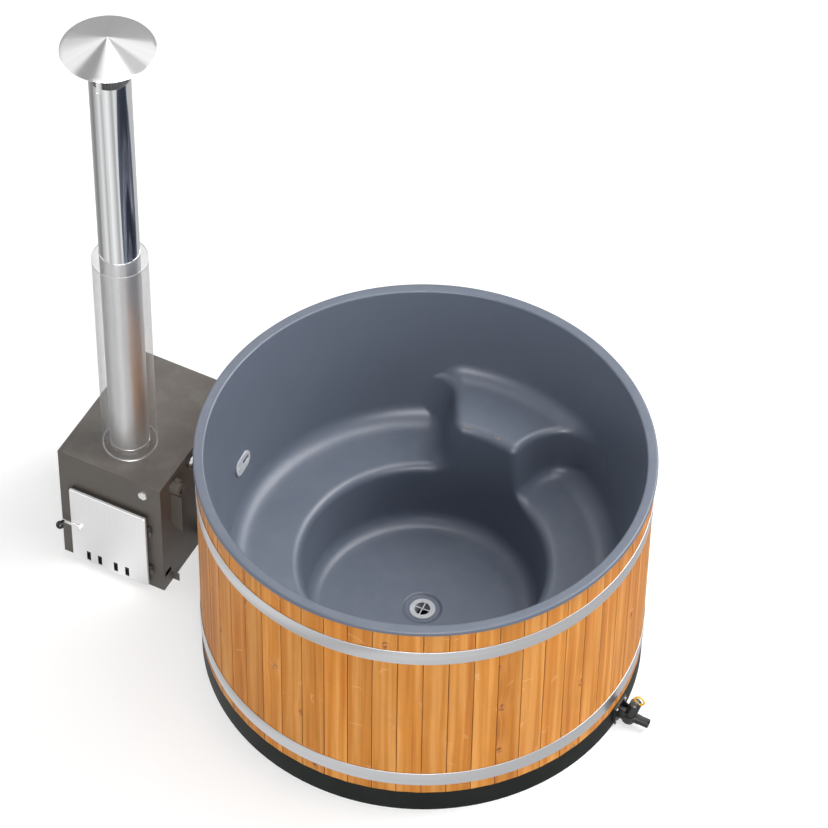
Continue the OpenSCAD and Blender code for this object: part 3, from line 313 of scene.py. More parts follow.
def set_world():
    """White to the lens and a faint even light. To metal it is a white studio with grey walls: the
    brightness follows the height of the direction, with one list for the left half and one for the
    right half of the room."""
    world = bpy.data.worlds.new("studio")
    bpy.context.scene.world = world
    world.use_nodes = True
    tree = world.node_tree
    tree.nodes.clear()
    way = put(tree, "ShaderNodeTexCoord").outputs["Generated"]
    height = split(tree, way)[2]
    right = (math.sin(FRONT_BEARING), -math.cos(FRONT_BEARING), 0.0)
    side = put(tree, "ShaderNodeVectorMath", {0: way, 1: right}, operation="DOT_PRODUCT").outputs["Value"]
    walls = tint(tree, ease(tree, side, -0.06, 0.06), grey_fan(tree, height, LEFT_WALL),
                 grey_fan(tree, height, RIGHT_WALL))
    path = put(tree, "ShaderNodeLightPath").outputs
    plain = put(tree, "ShaderNodeBackground", {"Color": (0.97, 0.985, 1.0, 1), "Strength": ROOM_LIGHT})
    white = put(tree, "ShaderNodeBackground", {"Color": (1, 1, 1, 1), "Strength": 1.0})
    mirror = put(tree, "ShaderNodeBackground", {"Color": walls, "Strength": MIRROR_LIGHT})
    first = blended(tree, path["Is Glossy Ray"], plain, mirror)
    seen = calc(tree, "MAXIMUM", path["Is Camera Ray"], path["Is Transmission Ray"])
    last = blended(tree, seen, first, white)
    put(tree, "ShaderNodeOutputWorld", {"Surface": last.outputs[0]})


def hang_lamp(name, bearing, height, power, width, tall):
    """A soft box that faces the tub from a bearing and a height, both in degrees."""
    data = bpy.data.lights.new(name, "AREA")
    data.shape = "RECTANGLE"
    data.size = width
    data.size_y = tall
    data.energy = power
    lamp = bpy.data.objects.new(name, data)
    b, h = math.radians(bearing), math.radians(height)
    out = np.array([math.cos(h) * math.cos(b), math.cos(h) * math.sin(b), math.sin(h)])
    side = np.array([-math.sin(b), math.cos(b), 0.0])
    up = np.cross(out, side)
    at = np.array([0.0, 0.0, 0.5]) + LAMP_AWAY * out
    lamp.matrix_world = Matrix([[side[i], up[i], out[i], at[i]] for i in range(3)] + [[0, 0, 0, 1]])
    bpy.context.scene.collection.objects.link(lamp)
    return lamp


def set_lamps():
    """Square boxes for the light, and long low ones that only the gloss of the rounds shows."""
    for lamp in LAMPS:
        hang_lamp(*lamp, LAMP_TALL)
    for lamp in SHEEN_LAMPS:
        hang_lamp(*lamp, SHEEN_TALL).visible_diffuse = False


# ---------------------------------------------------------------- meshes

def put_piece(name, mesh, slot, body, finish=None):
    """Puts a mesh in the scene, riding on a body. It has its slot's finish unless another is named."""
    mesh.materials.append(FINISH[finish or slot])
    piece = bpy.data.objects.new(name, mesh)
    bpy.context.scene.collection.objects.link(piece)
    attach(piece, body)
    return piece


def mesh_of(name, points, faces, slot, body=TUB, smooth=True, finish=None):
    """A piece from an array of points and a list of faces."""
    mesh = bpy.data.meshes.new(name)
    mesh.from_pydata(points.reshape(-1, 3), [], faces)
    mesh.polygons.foreach_set("use_smooth", np.full(len(mesh.polygons), smooth))
    return put_piece(name, mesh, slot, body, finish)


def grid_faces(rows, columns, around=True, along=False, first=0):
    """Four-sided faces between the neighbours of a grid of points, numbered row by row. `around`
    joins the last column to the first one, `along` the last row to the first one."""
    r, c = np.meshgrid(np.arange(rows if along else rows - 1),
                       np.arange(columns if around else columns - 1), indexing="ij")
    r1, c1 = (r + 1) % rows, (c + 1) % columns
    quads = np.stack([r * columns + c, r * columns + c1, r1 * columns + c1, r1 * columns + c], axis=-1)
    return quads.reshape(-1, 4) + first


def tube_faces(rings, first=0):
    """The faces of a tube of rings, numbered ring by ring, with one face over each end."""
    rows, columns = rings.shape[:2]
    faces = grid_faces(rows, columns, first=first).tolist()
    ends = first + np.arange(columns)[::-1], first + (rows - 1) * columns + np.arange(columns)
    return faces + [end.tolist() for end in ends]


def full_turn(steps):
    """Even angles round a full circle, the first one only once."""
    return np.linspace(0, 2 * math.pi, steps, endpoint=False)


def lathe(profile, angles, centre=(0.0, 0.0)):
    """Each (radius, height) of the profile, turned about an upright axis: x = r cos a, y = r sin a."""
    r = profile[:, 0][:, None]
    z = np.broadcast_to(profile[:, 1][:, None], (len(profile), len(angles)))
    return np.stack([centre[0] + r * np.cos(angles), centre[1] + r * np.sin(angles), z], axis=-1)


def arc(centre, radius, start, end, steps):
    """Points on a part of a circle, from one angle in degrees to another."""
    a = np.radians(np.linspace(start, end, steps))
    return np.stack([centre[0] + radius * np.cos(a), centre[1] + radius * np.sin(a)], axis=-1)


def rounded_rectangle(low, high, radius, steps=4):
    """The outline of a rectangle whose corners are quarter circles, anticlockwise."""
    x0, y0 = low[0] + radius, low[1] + radius
    x1, y1 = high[0] - radius, high[1] - radius
    return np.concatenate([arc((x1, y0), radius, -90, 0, steps), arc((x1, y1), radius, 0, 90, steps),
                           arc((x0, y1), radius, 90, 180, steps), arc((x0, y0), radius, 180, 270, steps)])


# ---------------------------------------------------------------- liner

def rounded_or(a, b, k):
    """Open where either field is open; the solid edge left between them is rounded to k."""
    u, v = np.maximum(a + k, 0), np.maximum(b + k, 0)
    return np.minimum(-k, np.maximum(a, b)) + np.hypot(u, v)


def rounded_and(a, b, k):
    """Open where both fields are open; the inner corner between them is filled to a radius k."""
    u, v = np.maximum(k - a, 0), np.maximum(k - b, 0)
    return np.maximum(k, np.minimum(a, b)) - np.hypot(u, v)


def wall_at(z):
    """The radius of the leaning wall at a height."""
    return RIM_R - RIM_W - (RIM_Z - z) * math.tan(WALL_LEAN)


def riser_at(z):
    """The radius of the foot well's leaning riser at a height."""
    return WELL_R + (z - WELL_Z) * math.tan(RISER_LEAN)


def bath_space(p):
    """How far each point is inside the bath's open space. The wall and the foot well are cones about
    the axis, the bench and the floor are planes, and the step stands on the bench between a leaning
    plane and the outside of a leaning cylinder. Every pair meets in a round of its own radius."""
    x, y, z = p[..., 0], p[..., 1], p[..., 2]
    r = np.hypot(x, y)
    wall = (wall_at(z) - r) * math.cos(WALL_LEAN)
    riser = (riser_at(z) - r) * math.cos(RISER_LEAN)

    # The step's left flank: its outward side, tipped back with height
    side = (-math.sin(STEP_LEFT_TURN), math.cos(STEP_LEFT_TURN))
    out = (x - STEP_LEFT_AT[0]) * side[0] + (y - STEP_LEFT_AT[1]) * side[1]
    left = out * math.cos(STEP_LEFT_LEAN) + (z - STEP_Z) * math.sin(STEP_LEFT_LEAN)

    # The hollow in its right flank: the inside of a cylinder whose axis leans
    along = np.array([math.sin(SCALLOP_LEAN) * math.cos(SCALLOP_TURN),
                      math.sin(SCALLOP_LEAN) * math.sin(SCALLOP_TURN), math.cos(SCALLOP_LEAN)])
    q = p - np.array([SCALLOP_AT[0], SCALLOP_AT[1], (BENCH_Z + STEP_Z) / 2])
    across = q - (q @ along)[..., None] * along
    away = (x - SCALLOP_AT[0] - (y - SCALLOP_AT[1])) * math.sqrt(0.5) + 0.06
    hollow = np.maximum(SCALLOP_R - np.linalg.norm(across, axis=-1), away)

    dish = rounded_and((DISH_R - r) * 0.7 + (z - WELL_Z) * 0.7, z - (WELL_Z - DISH_H), DISH_ROUND)
    floor = rounded_or(z - WELL_Z, dish, DISH_EDGE)
    well = rounded_and(riser, floor, FLOOR_ROUND)

    def low_space(flank):
        """The space over the bench, the floor and the step, for one form of the step's left flank."""
        step_open = rounded_or(z - STEP_Z, rounded_or(flank, hollow, STEP_CORNER), STEP_EDGE)
        seat = rounded_and(z - BENCH_Z, step_open, STEP_FOOT)
        return rounded_or(seat, well, BENCH_EDGE)

    # The left flank flares out to the wall in a wide round of its own
    flared = STEP_FLARE - np.hypot(np.maximum(STEP_FLARE - left, 0), np.maximum(STEP_FLARE - wall, 0))

    # The round at the wall is wide on the bench and closer on the step
    widening = np.clip((STEP_Z + 0.02 - z) / 0.16, 0, 1)
    plain = rounded_and(wall, low_space(left), WALL_ROUND + WALL_ROUND_WIDER * widening)
    return np.minimum(plain, low_space(np.minimum(left, flared)))


def spread(*spans):
    """Values from the first number on, with each (end, count) adding that many even steps."""
    values = [np.array([spans[0]])]
    for end, count in spans[1:]:
        values.append(np.linspace(values[-1][-1], end, count + 1)[1:])
    return np.concatenate(values)


def make_liner():
    """A plain lathe of the floor, riser, bench and wall is drawn first. From a point high over the
    well, a ray through each of its points goes on to where the bath's open space ends, which rounds
    every corner and raises the step. The rim is a lathe, and the underside is the same surface moved
    outwards by the shell's thickness."""
    # The columns lie closer where the step's two flanks rise
    angles = np.radians(spread(40.0, (145.0, 168), (400.0, 210))[:-1])
    floor_r = spread(DRAIN_HOLE_R, (0.066, 3), (0.100, 12), (0.420, 14), (WELL_R, 9))
    riser_z = spread(WELL_Z, (0.205, 9), (0.425, 12), (BENCH_Z, 7))[1:]
    bench_r = spread(riser_at(BENCH_Z), (0.530, 8), (0.720, 14), (wall_at(BENCH_Z), 10))[1:]
    top_z = RIM_Z - RIM_INNER_EDGE
    wall_z = spread(BENCH_Z, (0.520, 12), (0.660, 16), (0.760, 20), (top_z, 22))[1:]
    cage = np.concatenate([
        np.stack([floor_r, np.full_like(floor_r, WELL_Z)], axis=-1),
        np.stack([riser_at(riser_z), riser_z], axis=-1),
        np.stack([bench_r, np.full_like(bench_r, BENCH_Z)], axis=-1),
        np.stack([wall_at(wall_z), wall_z], axis=-1)])
    goal = lathe(cage, angles)
    eye = np.array([0.20, 0.0, 1.25])
    ray = goal - eye
    near, far = np.full(goal.shape[:2], 0.3), np.full(goal.shape[:2], 1.25)
    for _ in range(26):
        half = (near + far) / 2
        open_there = bath_space(eye + ray * half[..., None]) > 0
        near = np.where(open_there, half, near)
        far = np.where(open_there, far, half)
    inner = eye + ray * near[..., None]
    inner[0] = lathe(np.array([[DRAIN_HOLE_R, WELL_Z - DISH_H]]), angles)[0]

    reach = 0.0004
    slope = np.stack([bath_space(inner + reach * axis) - bath_space(inner - reach * axis)
                      for axis in np.eye(3)], axis=-1)
    slope /= np.linalg.norm(slope, axis=-1, keepdims=True)
    outer = (inner - SHELL * slope)[::-3]
    outer_end = lathe(np.array([[DRAIN_HOLE_R, WELL_Z - DISH_H - SHELL]]), angles)

    edge, corner, under = RIM_INNER_EDGE, RIM_OUTER_EDGE, RIM_Z - SHELL
    rim = np.concatenate([
        arc((wall_at(top_z) + edge, RIM_Z - edge), edge, 172, 90, 6)[1:],
        arc((RIM_R - corner, RIM_Z - corner), corner, 90, 0, 6),
        arc((RIM_R - 0.002, RIM_Z - SKIRT_H + 0.002), 0.002, 0, -90, 3),
        [[RIM_R - SHELL, RIM_Z - SKIRT_H], [RIM_R - SHELL, under - 0.003], [RIM_R - SHELL - 0.003, under],
         [wall_at(under) + SHELL / math.cos(WALL_LEAN) + 0.002, under]]])
    points = np.concatenate([inner, lathe(rim, angles), outer, outer_end])
    faces = grid_faces(*points.shape[:2], along=True)
    piece = mesh_of("liner_shell", points, faces.tolist(), "liner_shell")
    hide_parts("liner")


# ---------------------------------------------------------------- staves and hoops

def stave_bearings():
    """The first and last bearing of each stave; the narrow one that closes the ring comes last."""
    starts = STAVE_START + STAVE_TURN * np.arange(STAVE_N)
    spans = [(a, a + STAVE_TURN) for a in starts]
    return spans + [(starts[-1] + STAVE_TURN, STAVE_START + 2 * math.pi)]


def make_staves():
    """Each stave is an upright board: its outline across the grain has a flat face and back, eased
    long edges and a fine gap to its neighbours, and its two ends are eased too. Its map gives the
    place across and along the board in metres, and `board` a number of its own."""
    low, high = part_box("staves")
    cut, gap = 0.0024, 0.0004
    shuffle = np.random.default_rng(SEED)
    points, faces, maps, boards, grooves = [], [], [], [], []
    count = 0
    for a0, a1 in stave_bearings():
        middle = (a0 + a1) / 2
        half_out = STAVE_OUT * math.sin((a1 - a0) / 2) - gap
        half_in = STAVE_IN * math.sin((a1 - a0) / 2) - gap
        face = STAVE_OUT * math.cos((a1 - a0) / 2)
        back = STAVE_IN * math.cos((a1 - a0) / 2)
        across = spread(-half_out + cut, (half_out - cut, 4))
        outline = np.concatenate([
            np.stack([np.full(5, face), across], axis=-1),
            [[face - 0.25 * cut, half_out - 0.35 * cut], [face - cut, half_out]],
            [[back, half_in], [back, -half_in]],
            [[face - cut, -half_out], [face - 0.25 * cut, -half_out + 0.35 * cut]]])
        turn = np.array([[math.cos(middle), math.sin(middle)], [-math.sin(middle), math.cos(middle)]])
        heights = np.array([low[2], low[2] + cut, high[2] - cut, high[2]])
        pinch = np.array([1 - cut / 0.02, 1.0, 1.0, 1 - cut / 0.02])
        core = np.array([(face + back) / 2, 0.0])
        rings = core + (outline - core) * pinch[:, None, None]
        flat = rings @ turn
        ring = np.concatenate([flat, np.broadcast_to(heights[:, None, None], flat.shape[:2] + (1,))], axis=-1)
        rows, columns = ring.shape[:2]
        faces += tube_faces(ring, count)
        points.append(ring.reshape(-1, 3))
        place = np.array([shuffle.uniform(0, 40), shuffle.uniform(0, 40)])
        board_map = np.stack([rings[..., 1] + place[0],
                              np.broadcast_to(heights[:, None], rings.shape[:2]) + place[1]], axis=-1)
        maps.append(board_map.reshape(-1, 2))
        boards.append(np.full(rows * columns, shuffle.uniform()))
        # groove: 0 on the face, rising over the eased edges to 1 on the sides and back; the wood darkens it
        # as painted shade
        grooves.append(np.tile(np.r_[np.zeros(5), 0.6, np.ones(4), 0.6], rows))
        count += rows * columns
    piece = mesh_of("stave_ring", np.concatenate(points), faces, "wood", smooth=False)
    mesh = piece.data
    maps, boards = np.concatenate(maps), np.concatenate(boards)
    corner = np.empty(len(mesh.loops), dtype=np.int32)
    mesh.loops.foreach_get("vertex_index", corner)
    layer = mesh.uv_layers.new(name="grain")
    layer.data.foreach_set("uv", maps[corner].ravel())
    for name, values in (("board", boards), ("groove", np.concatenate(grooves))):
        mesh.attributes.new(name, "FLOAT", "POINT").data.foreach_set("value", values)
    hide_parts("staves")


def make_hoop(node):
    """A flat band whose section is a thin rounded rectangle, carried round the tub from one side of
    its seam to the other."""
    low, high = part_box(node)
    inner = STAVE_OUT + HOOP_OFF
    outer = inner + HOOP_SHEET
    section = rounded_rectangle((inner, low[2]), (outer, high[2]), 0.0009)
    half_gap = HOOP_HALF_OPEN / outer
    angles = np.linspace(SEAM + half_gap, SEAM + 2 * math.pi - half_gap, 300)
    points = lathe(section, angles)
    rows, columns = points.shape[:2]
    faces = grid_faces(rows, columns, around=False, along=True).tolist()
    faces.append((np.arange(rows)[::-1] * columns).tolist())
    faces.append((np.arange(rows) * columns + columns - 1).tolist())
    piece = mesh_of(node + "_band", points, faces, "hoop_steel")
    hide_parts(node)


# ---------------------------------------------------------------- shader groups

def new_group(name, inputs, outputs):
    """A shader node group: its tree, the outputs of its input node, and its output node. Inputs are
    given as label: (kind, plain value), outputs as label: kind."""
    tree = bpy.data.node_groups.new(name, "ShaderNodeTree")
    for label, (kind, value) in inputs.items():
        socket = tree.interface.new_socket(label, in_out="INPUT", socket_type="NodeSocket" + kind)
        if value is not None:
            socket.default_value = value
    for label, kind in outputs.items():
        tree.interface.new_socket(label, in_out="OUTPUT", socket_type="NodeSocket" + kind)
    return tree, put(tree, "NodeGroupInput").outputs, put(tree, "NodeGroupOutput")


def use(tree, group, sockets):
    """Places a group in a material and gives its outputs."""
    return put(tree, "ShaderNodeGroup", sockets, node_tree=group).outputs


def give(tree, out, **results):
    """Links values to a group's outputs of the same names."""
    for label, value in results.items():
        tree.links.new(value, out.inputs[label])


def noise(tree, place, scale, detail=2.0, roughness=0.5, twist=0.0):
    """The value of a noise at a place."""
    sockets = {"Vector": place, "Scale": scale, "Detail": detail, "Roughness": roughness, "Distortion": twist}
    return put(tree, "ShaderNodeTexNoise", sockets).outputs["Fac"]


def stretch(tree, place, factors, shift=(0.0, 0.0, 0.0)):
    """A place times a factor for each axis, then shifted."""
    sockets = {"Vector": place, "Scale": factors, "Location": shift}
    return put(tree, "ShaderNodeMapping", sockets).outputs[0]


def lain_noise(tree, place, factors, shift=(0.0, 0.0, 0.0), detail=2.0, roughness=0.5, twist=0.0):
    """The value of a noise that is drawn out or squeezed along the axes of its place."""
    return noise(tree, stretch(tree, place, factors, shift), 1.0, detail, roughness, twist)


def rgb(red, green, blue):
    """A colour with full alpha."""
    return (red, green, blue, 1.0)


def build_pine():
    """Flat-sawn pine. Its lines run along the board and follow `flow`, which is the place across the board,
    pushed aside by slow noise and bent round each knot. Broad pale and deep bands, fine lines and thin resin
    streaks are noises of the flow. Knots are the marked cells of a Voronoi pattern, and pale crescents,
    painted highlights on the grain, lie where a second noise crosses its middle value."""
    tree, given, out = new_group(
        "pine_grain",
        {"Place": ("Vector", None), "Board": ("Float", 0.5), "Pale": ("Color", rgb(0.80, 0.44, 0.16)),
         "Middle": ("Color", rgb(0.66, 0.28, 0.05)), "Deep": ("Color", rgb(0.47, 0.15, 0.02)),
         "Knots": ("Float", 1.0)},
        {"Colour": "Color", "Height": "Float", "Roughness": "Float"})
    place = given["Place"]
    across, along = split(tree, place)[:2]
    sockets = {"Vector": stretch(tree, place, (6.0, 3.9, 1.0)), "Scale": 1.0, "Randomness": 0.9}
    cell = put(tree, "ShaderNodeTexVoronoi", sockets, voronoi_dimensions="2D").outputs
    away = cell["Distance"]
    chosen = put(tree, "ShaderNodeSeparateColor", {0: cell["Color"]}).outputs[0]
    marked = times(tree, ease(tree, chosen, 0.71, 0.73), given["Knots"])
    near = times(tree, ease(tree, away, 0.42, 0.05), marked)
    ring = times(tree, ease(tree, away, 0.115, 0.060), marked)
    parts = ease(tree, lain_noise(tree, place, (105.0, 62.0, 1.0), (4.0, 7.0, 0.0), 0.0), 0.47, 0.58)
    heart = times(tree, ease(tree, away, 0.105, 0.050), marked, parts)
    sway = lain_noise(tree, place, (7.0, 1.1, 1.0))
    pushed = calc(tree, "MULTIPLY_ADD", sway, 0.022, across)
    flow = calc(tree, "MULTIPLY_ADD", near, 0.010, pushed)
    lane = join(tree, flow, along, given["Board"])
    broad = lain_noise(tree, lane, (36.0, 0.75, 7.0))
    lines = lain_noise(tree, lane, (95.0, 1.3, 3.0))
    fine = lain_noise(tree, lane, (620.0, 9.0, 3.0), roughness=0.6)
    cloud = lain_noise(tree, place, (9.0, 3.0, 1.0), (3.0, 1.0, 0.0))
    colour = tint(tree, ease(tree, broad, 0.47, 0.68), given["Middle"], given["Pale"])
    colour = tint(tree, times(tree, ease(tree, broad, 0.50, 0.30), 0.75), colour, given["Deep"])
    streaks = times(tree, ease(tree, lines, 0.56, 0.70), ease(tree, cloud, 0.40, 0.62))
    colour = tint(tree, times(tree, streaks, 0.38), colour, given["Deep"])
    lights = times(tree, ease(tree, lines, 0.42, 0.30), ease(tree, cloud, 0.58, 0.42))
    colour = tint(tree, times(tree, lights, 0.45), colour, given["Pale"])
    tone = ease(tree, given["Board"], 0.0, 1.0, 0.93, 1.07)
    tone = calc(tree, "ADD", tone, ease(tree, fine, 0.2, 0.8, -0.05, 0.05))
    tone = calc(tree, "ADD", tone, ease(tree, cloud, 0.25, 0.75, -0.05, 0.05))
    grey = put(tree, "ShaderNodeCombineColor", {0: tone, 1: tone, 2: tone}).outputs[0]
    colour = tint(tree, 1.0, colour, grey, "MULTIPLY")
    colour = tint(tree, times(tree, near, 0.30), colour, given["Pale"])
    colour = tint(tree, times(tree, ring, 0.35), colour, rgb(0.52, 0.20, 0.070))
    colour = tint(tree, times(tree, heart, 0.85), colour, rgb(0.20, 0.055, 0.014))
    # Painted highlights: thin pale crescents where a second noise crosses its middle value
    curl = lain_noise(tree, place, (9.0, 13.0, 1.0), (0.0, 5.0, 0.0), 0.0, 0.4, 0.3)
    thin = ease(tree, calc(tree, "ABSOLUTE", minus(tree, curl, 0.5)), 0.044, 0.006)
    here = lain_noise(tree, place, (11.0, 9.0, 1.0), (9.0, 2.0, 0.0), 0.0)
    crescent_highlight = times(tree, thin, ease(tree, here, 0.68, 0.78), given["Knots"])
    colour = tint(tree, times(tree, crescent_highlight, 0.50), colour, rgb(0.82, 0.44, 0.20))
    height = calc(tree, "MULTIPLY_ADD", lines, -0.7, times(tree, fine, 0.5))
    height = calc(tree, "MULTIPLY_ADD", heart, -0.5, height)
    give(tree, out, Colour=colour, Height=height, Roughness=ease(tree, lines, 0.3, 0.7, 0.40, 0.56))
    return tree


def build_mottle():
    """Even surfaces that are never quite even: a cloud of a few centimetres, a fine speckle, and a
    tiny orange-peel height, all from noises of one place."""
    tree, given, out = new_group(
        "mottle",
        {"Place": ("Vector", None), "Colour": ("Color", rgb(0.5, 0.5, 0.5)),
         "Other": ("Color", rgb(0.4, 0.4, 0.4)), "Cloud Scale": ("Float", 14.0),
         "Grain Scale": ("Float", 420.0), "Roughness": ("Float", 0.5), "Roughness Spread": ("Float", 0.08)},
        {"Colour": "Color", "Height": "Float", "Roughness": "Float"})
    cloud = noise(tree, given["Place"], given["Cloud Scale"], 4.0, 0.55)
    grain = noise(tree, given["Place"], given["Grain Scale"], 2.0, 0.5)
    both = calc(tree, "MULTIPLY_ADD", grain, 0.25, times(tree, cloud, 0.75))
    colour = tint(tree, ease(tree, both, 0.34, 0.66), given["Colour"], given["Other"])
    swing = minus(tree, cloud, 0.5)
    roughness = calc(tree, "MULTIPLY_ADD", swing, given["Roughness Spread"], given["Roughness"])
    give(tree, out, Colour=colour, Height=grain, Roughness=roughness)
    return tree


def build_brushed():
    """Brushed or drawn metal. `Place` comes with its first part across the lines and its second
    along them; two noises, far longer than wide, give the lines, and a third gives faint smears."""
    tree, given, out = new_group(
        "brushed_lines",
        {"Place": ("Vector", None), "Light": ("Color", rgb(0.8, 0.8, 0.8)),
         "Dark": ("Color", rgb(0.7, 0.7, 0.7)), "Lines": ("Float", 1400.0), "Roughness": ("Float", 0.3),
         "Roughness Spread": ("Float", 0.2)},
        {"Colour": "Color", "Height": "Float", "Roughness": "Float"})
    long_place = stretch(tree, given["Place"], (1.0, 0.012, 1.0))
    coarse = noise(tree, long_place, times(tree, given["Lines"], 0.22), 3.0, 0.6)
    fine = noise(tree, long_place, given["Lines"], 2.0, 0.5)
    smear = noise(tree, given["Place"], 11.0, 3.0, 0.5)
    both = calc(tree, "MULTIPLY_ADD", fine, 0.45, times(tree, coarse, 0.55))
    colour = tint(tree, ease(tree, both, 0.36, 0.64), given["Dark"], given["Light"])
    mixed = calc(tree, "MULTIPLY_ADD", smear, 0.6, times(tree, both, 0.4))
    swing = minus(tree, mixed, 0.5)
    roughness = calc(tree, "MULTIPLY_ADD", swing, given["Roughness Spread"], given["Roughness"])
    give(tree, out, Colour=colour, Height=both, Roughness=roughness)
    return tree


def build_weather():
    """Where dust settles and where edges rub. Dust lies on faces that look up, in broken patches.
    Rubbing follows the `edge` attribute of an eased piece, broken by a noise."""
    tree, given, out = new_group("weather", {"Place": ("Vector", None), "Dust": ("Float", 0.3)},
                                 {"Dust": "Float", "Rub": "Float"})
    up = split(tree, put(tree, "ShaderNodeNewGeometry").outputs["Normal"])[2]
    patch = noise(tree, given["Place"], 9.0, 5.0, 0.62)
    settled = times(tree, ease(tree, up, 0.5, 1.0), ease(tree, patch, 0.38, 0.68))
    broken = ease(tree, noise(tree, given["Place"], 70.0, 4.0, 0.6), 0.42, 0.60)
    rubbed = times(tree, attribute(tree, "edge"), broken)
    give(tree, out, Dust=times(tree, settled, given["Dust"]), Rub=rubbed)
    return tree


# The oiled pine's colours, the painted shade in the grooves between boards, and the relief of brushed lines
# in metres
PINE_PALE = (0.74, 0.330, 0.075)
PINE_MIDDLE = (0.64, 0.240, 0.029)
PINE_DEEP = (0.50, 0.150, 0.014)
GROOVE_SHADE = (0.20, 0.055, 0.010)
LINE_RELIEF = 0.00001

PINE = build_pine()
MOTTLE = build_mottle()
BRUSHED = build_brushed()
WEATHER = build_weather()


# ---------------------------------------------------------------- materials

def new_material(name, roughness=0.5, metallic=0.0, **constants):
    """A material with a shader, whose plain values are set on the shader's own sockets."""
    mat = bpy.data.materials.new(name)
    mat.use_nodes = True
    tree = mat.node_tree
    tree.nodes.clear()
    sockets = {"Roughness": roughness, "Metallic": metallic}
    sockets.update({key.replace("_", " "): value for key, value in constants.items()})
    shader = put(tree, "ShaderNodeBsdfPrincipled", sockets)
    put(tree, "ShaderNodeOutputMaterial", {"Surface": shader.outputs[0]})
    return mat, tree, shader


def raise_by(tree, shader, height, metres):
    """Feeds a height to the shader's normal; its relief is given in metres."""
    relief = put(tree, "ShaderNodeBump", {"Height": height, "Distance": metres, "Strength": 1.0})
    tree.links.new(relief.outputs[0], shader.inputs["Normal"])


def feed(tree, shader, surface, bump=0.0):
    """Feeds a group's colour, roughness and height."""
    tree.links.new(surface["Colour"], shader.inputs["Base Color"])
    tree.links.new(surface["Roughness"], shader.inputs["Roughness"])
    if bump:
        raise_by(tree, shader, surface["Height"], bump)


def mottled(name, colour, other, roughness, spread, cloud, grain, bump, dust=0.0, rub=None, metallic=0.0,
            **constants):
    """Paint, plastic, rubber, foam or rough metal: the mottle group, with dust and rubbed edges."""
    mat, tree, shader = new_material(name, roughness, metallic, **constants)
    place = object_place(tree)
    surface = use(tree, MOTTLE, {"Place": place, "Colour": rgb(*colour), "Other": rgb(*other),
                                 "Cloud Scale": cloud, "Grain Scale": grain, "Roughness": roughness,
                                 "Roughness Spread": spread})
    feed(tree, shader, surface, bump)
    if dust or rub:
        wear = use(tree, WEATHER, {"Place": place, "Dust": dust})
        shade = surface["Colour"]
        if dust:
            shade = tint(tree, wear["Dust"], shade, rgb(0.45, 0.43, 0.40))
        if rub:
            shade = tint(tree, wear["Rub"], shade, rgb(*rub))
        tree.links.new(shade, shader.inputs["Base Color"])
    return mat


def turned_place(tree, centre, along_height=True):
    """Place on a round piece about an upright axis: the way round in metres at 0.1 m, and the height,
    in the order that the brushed lines ask for."""
    apart = split(tree, object_place(tree))
    x, y = (minus(tree, apart[i], centre[i]) for i in (0, 1))
    way = times(tree, calc(tree, "ARCTAN2", y, x), 0.1)
    place = join(tree, way, apart[2]) if along_height else join(tree, apart[2], way)
    return place, x, y, apart[2]


def lined(tree, shader, place, light, dark, roughness, spread, lines=1400.0):
    """Feeds the brushed lines to a shader and gives the group's outputs."""
    surface = use(tree, BRUSHED, {"Place": place, "Light": rgb(*light), "Dark": rgb(*dark), "Lines": lines,
                                  "Roughness": roughness, "Roughness Spread": spread})
    feed(tree, shader, surface, LINE_RELIEF)
    return surface


def brushed(name, light, dark, roughness, spread, way=(0, 2)):
    """Brushed metal whose lines run along the second of two axes."""
    mat, tree, shader = new_material(name, roughness, 1.0)
    apart = split(tree, object_place(tree))
    place = join(tree, apart[way[0]], apart[way[1]], apart[3 - sum(way)])
    lined(tree, shader, place, light, dark, roughness, spread)
    return mat


def turned_metal(name, centre, light, dark, roughness, spread, lines=1400.0, along_height=True):
    """Brushed metal on a round piece, with its lines along the height or round the axis."""
    mat, tree, shader = new_material(name, roughness, 1.0)
    place = turned_place(tree, centre, along_height)[0]
    lined(tree, shader, place, light, dark, roughness, spread, lines)
    return mat


def make_wood():
    """Oiled pine staves: the grain follows each board's own map, and the grooves between the boards are
    darkened as painted shade.
    """
    mat, tree, shader = new_material("wood", Specular_IOR_Level=0.25)
    place = put(tree, "ShaderNodeUVMap", uv_map="grain").outputs[0]
    surface = use(tree, PINE, {"Place": place, "Board": attribute(tree, "board"), "Pale": rgb(*PINE_PALE),
                               "Middle": rgb(*PINE_MIDDLE), "Deep": rgb(*PINE_DEEP)})
    feed(tree, shader, surface, 0.00025)
    groove_shading = ease(tree, attribute(tree, "groove"), 0.1, 0.8, 0.0, 0.85)
    shade = tint(tree, groove_shading, surface["Colour"], rgb(*GROOVE_SHADE))
    tree.links.new(shade, shader.inputs["Base Color"])
    return mat


def make_raw_wood():
    """Planed but untreated boards, whose grain runs along the Y axis."""
    mat, tree, shader = new_material("raw_wood", 0.8, Specular_IOR_Level=0.25)
    surface = use(tree, PINE, {"Place": object_place(tree), "Pale": rgb(0.60, 0.46, 0.29),
                               "Middle": rgb(0.46, 0.33, 0.19), "Deep": rgb(0.32, 0.21, 0.11), "Knots": 0.7})
    feed(tree, shader, surface, 0.0004)
    return mat


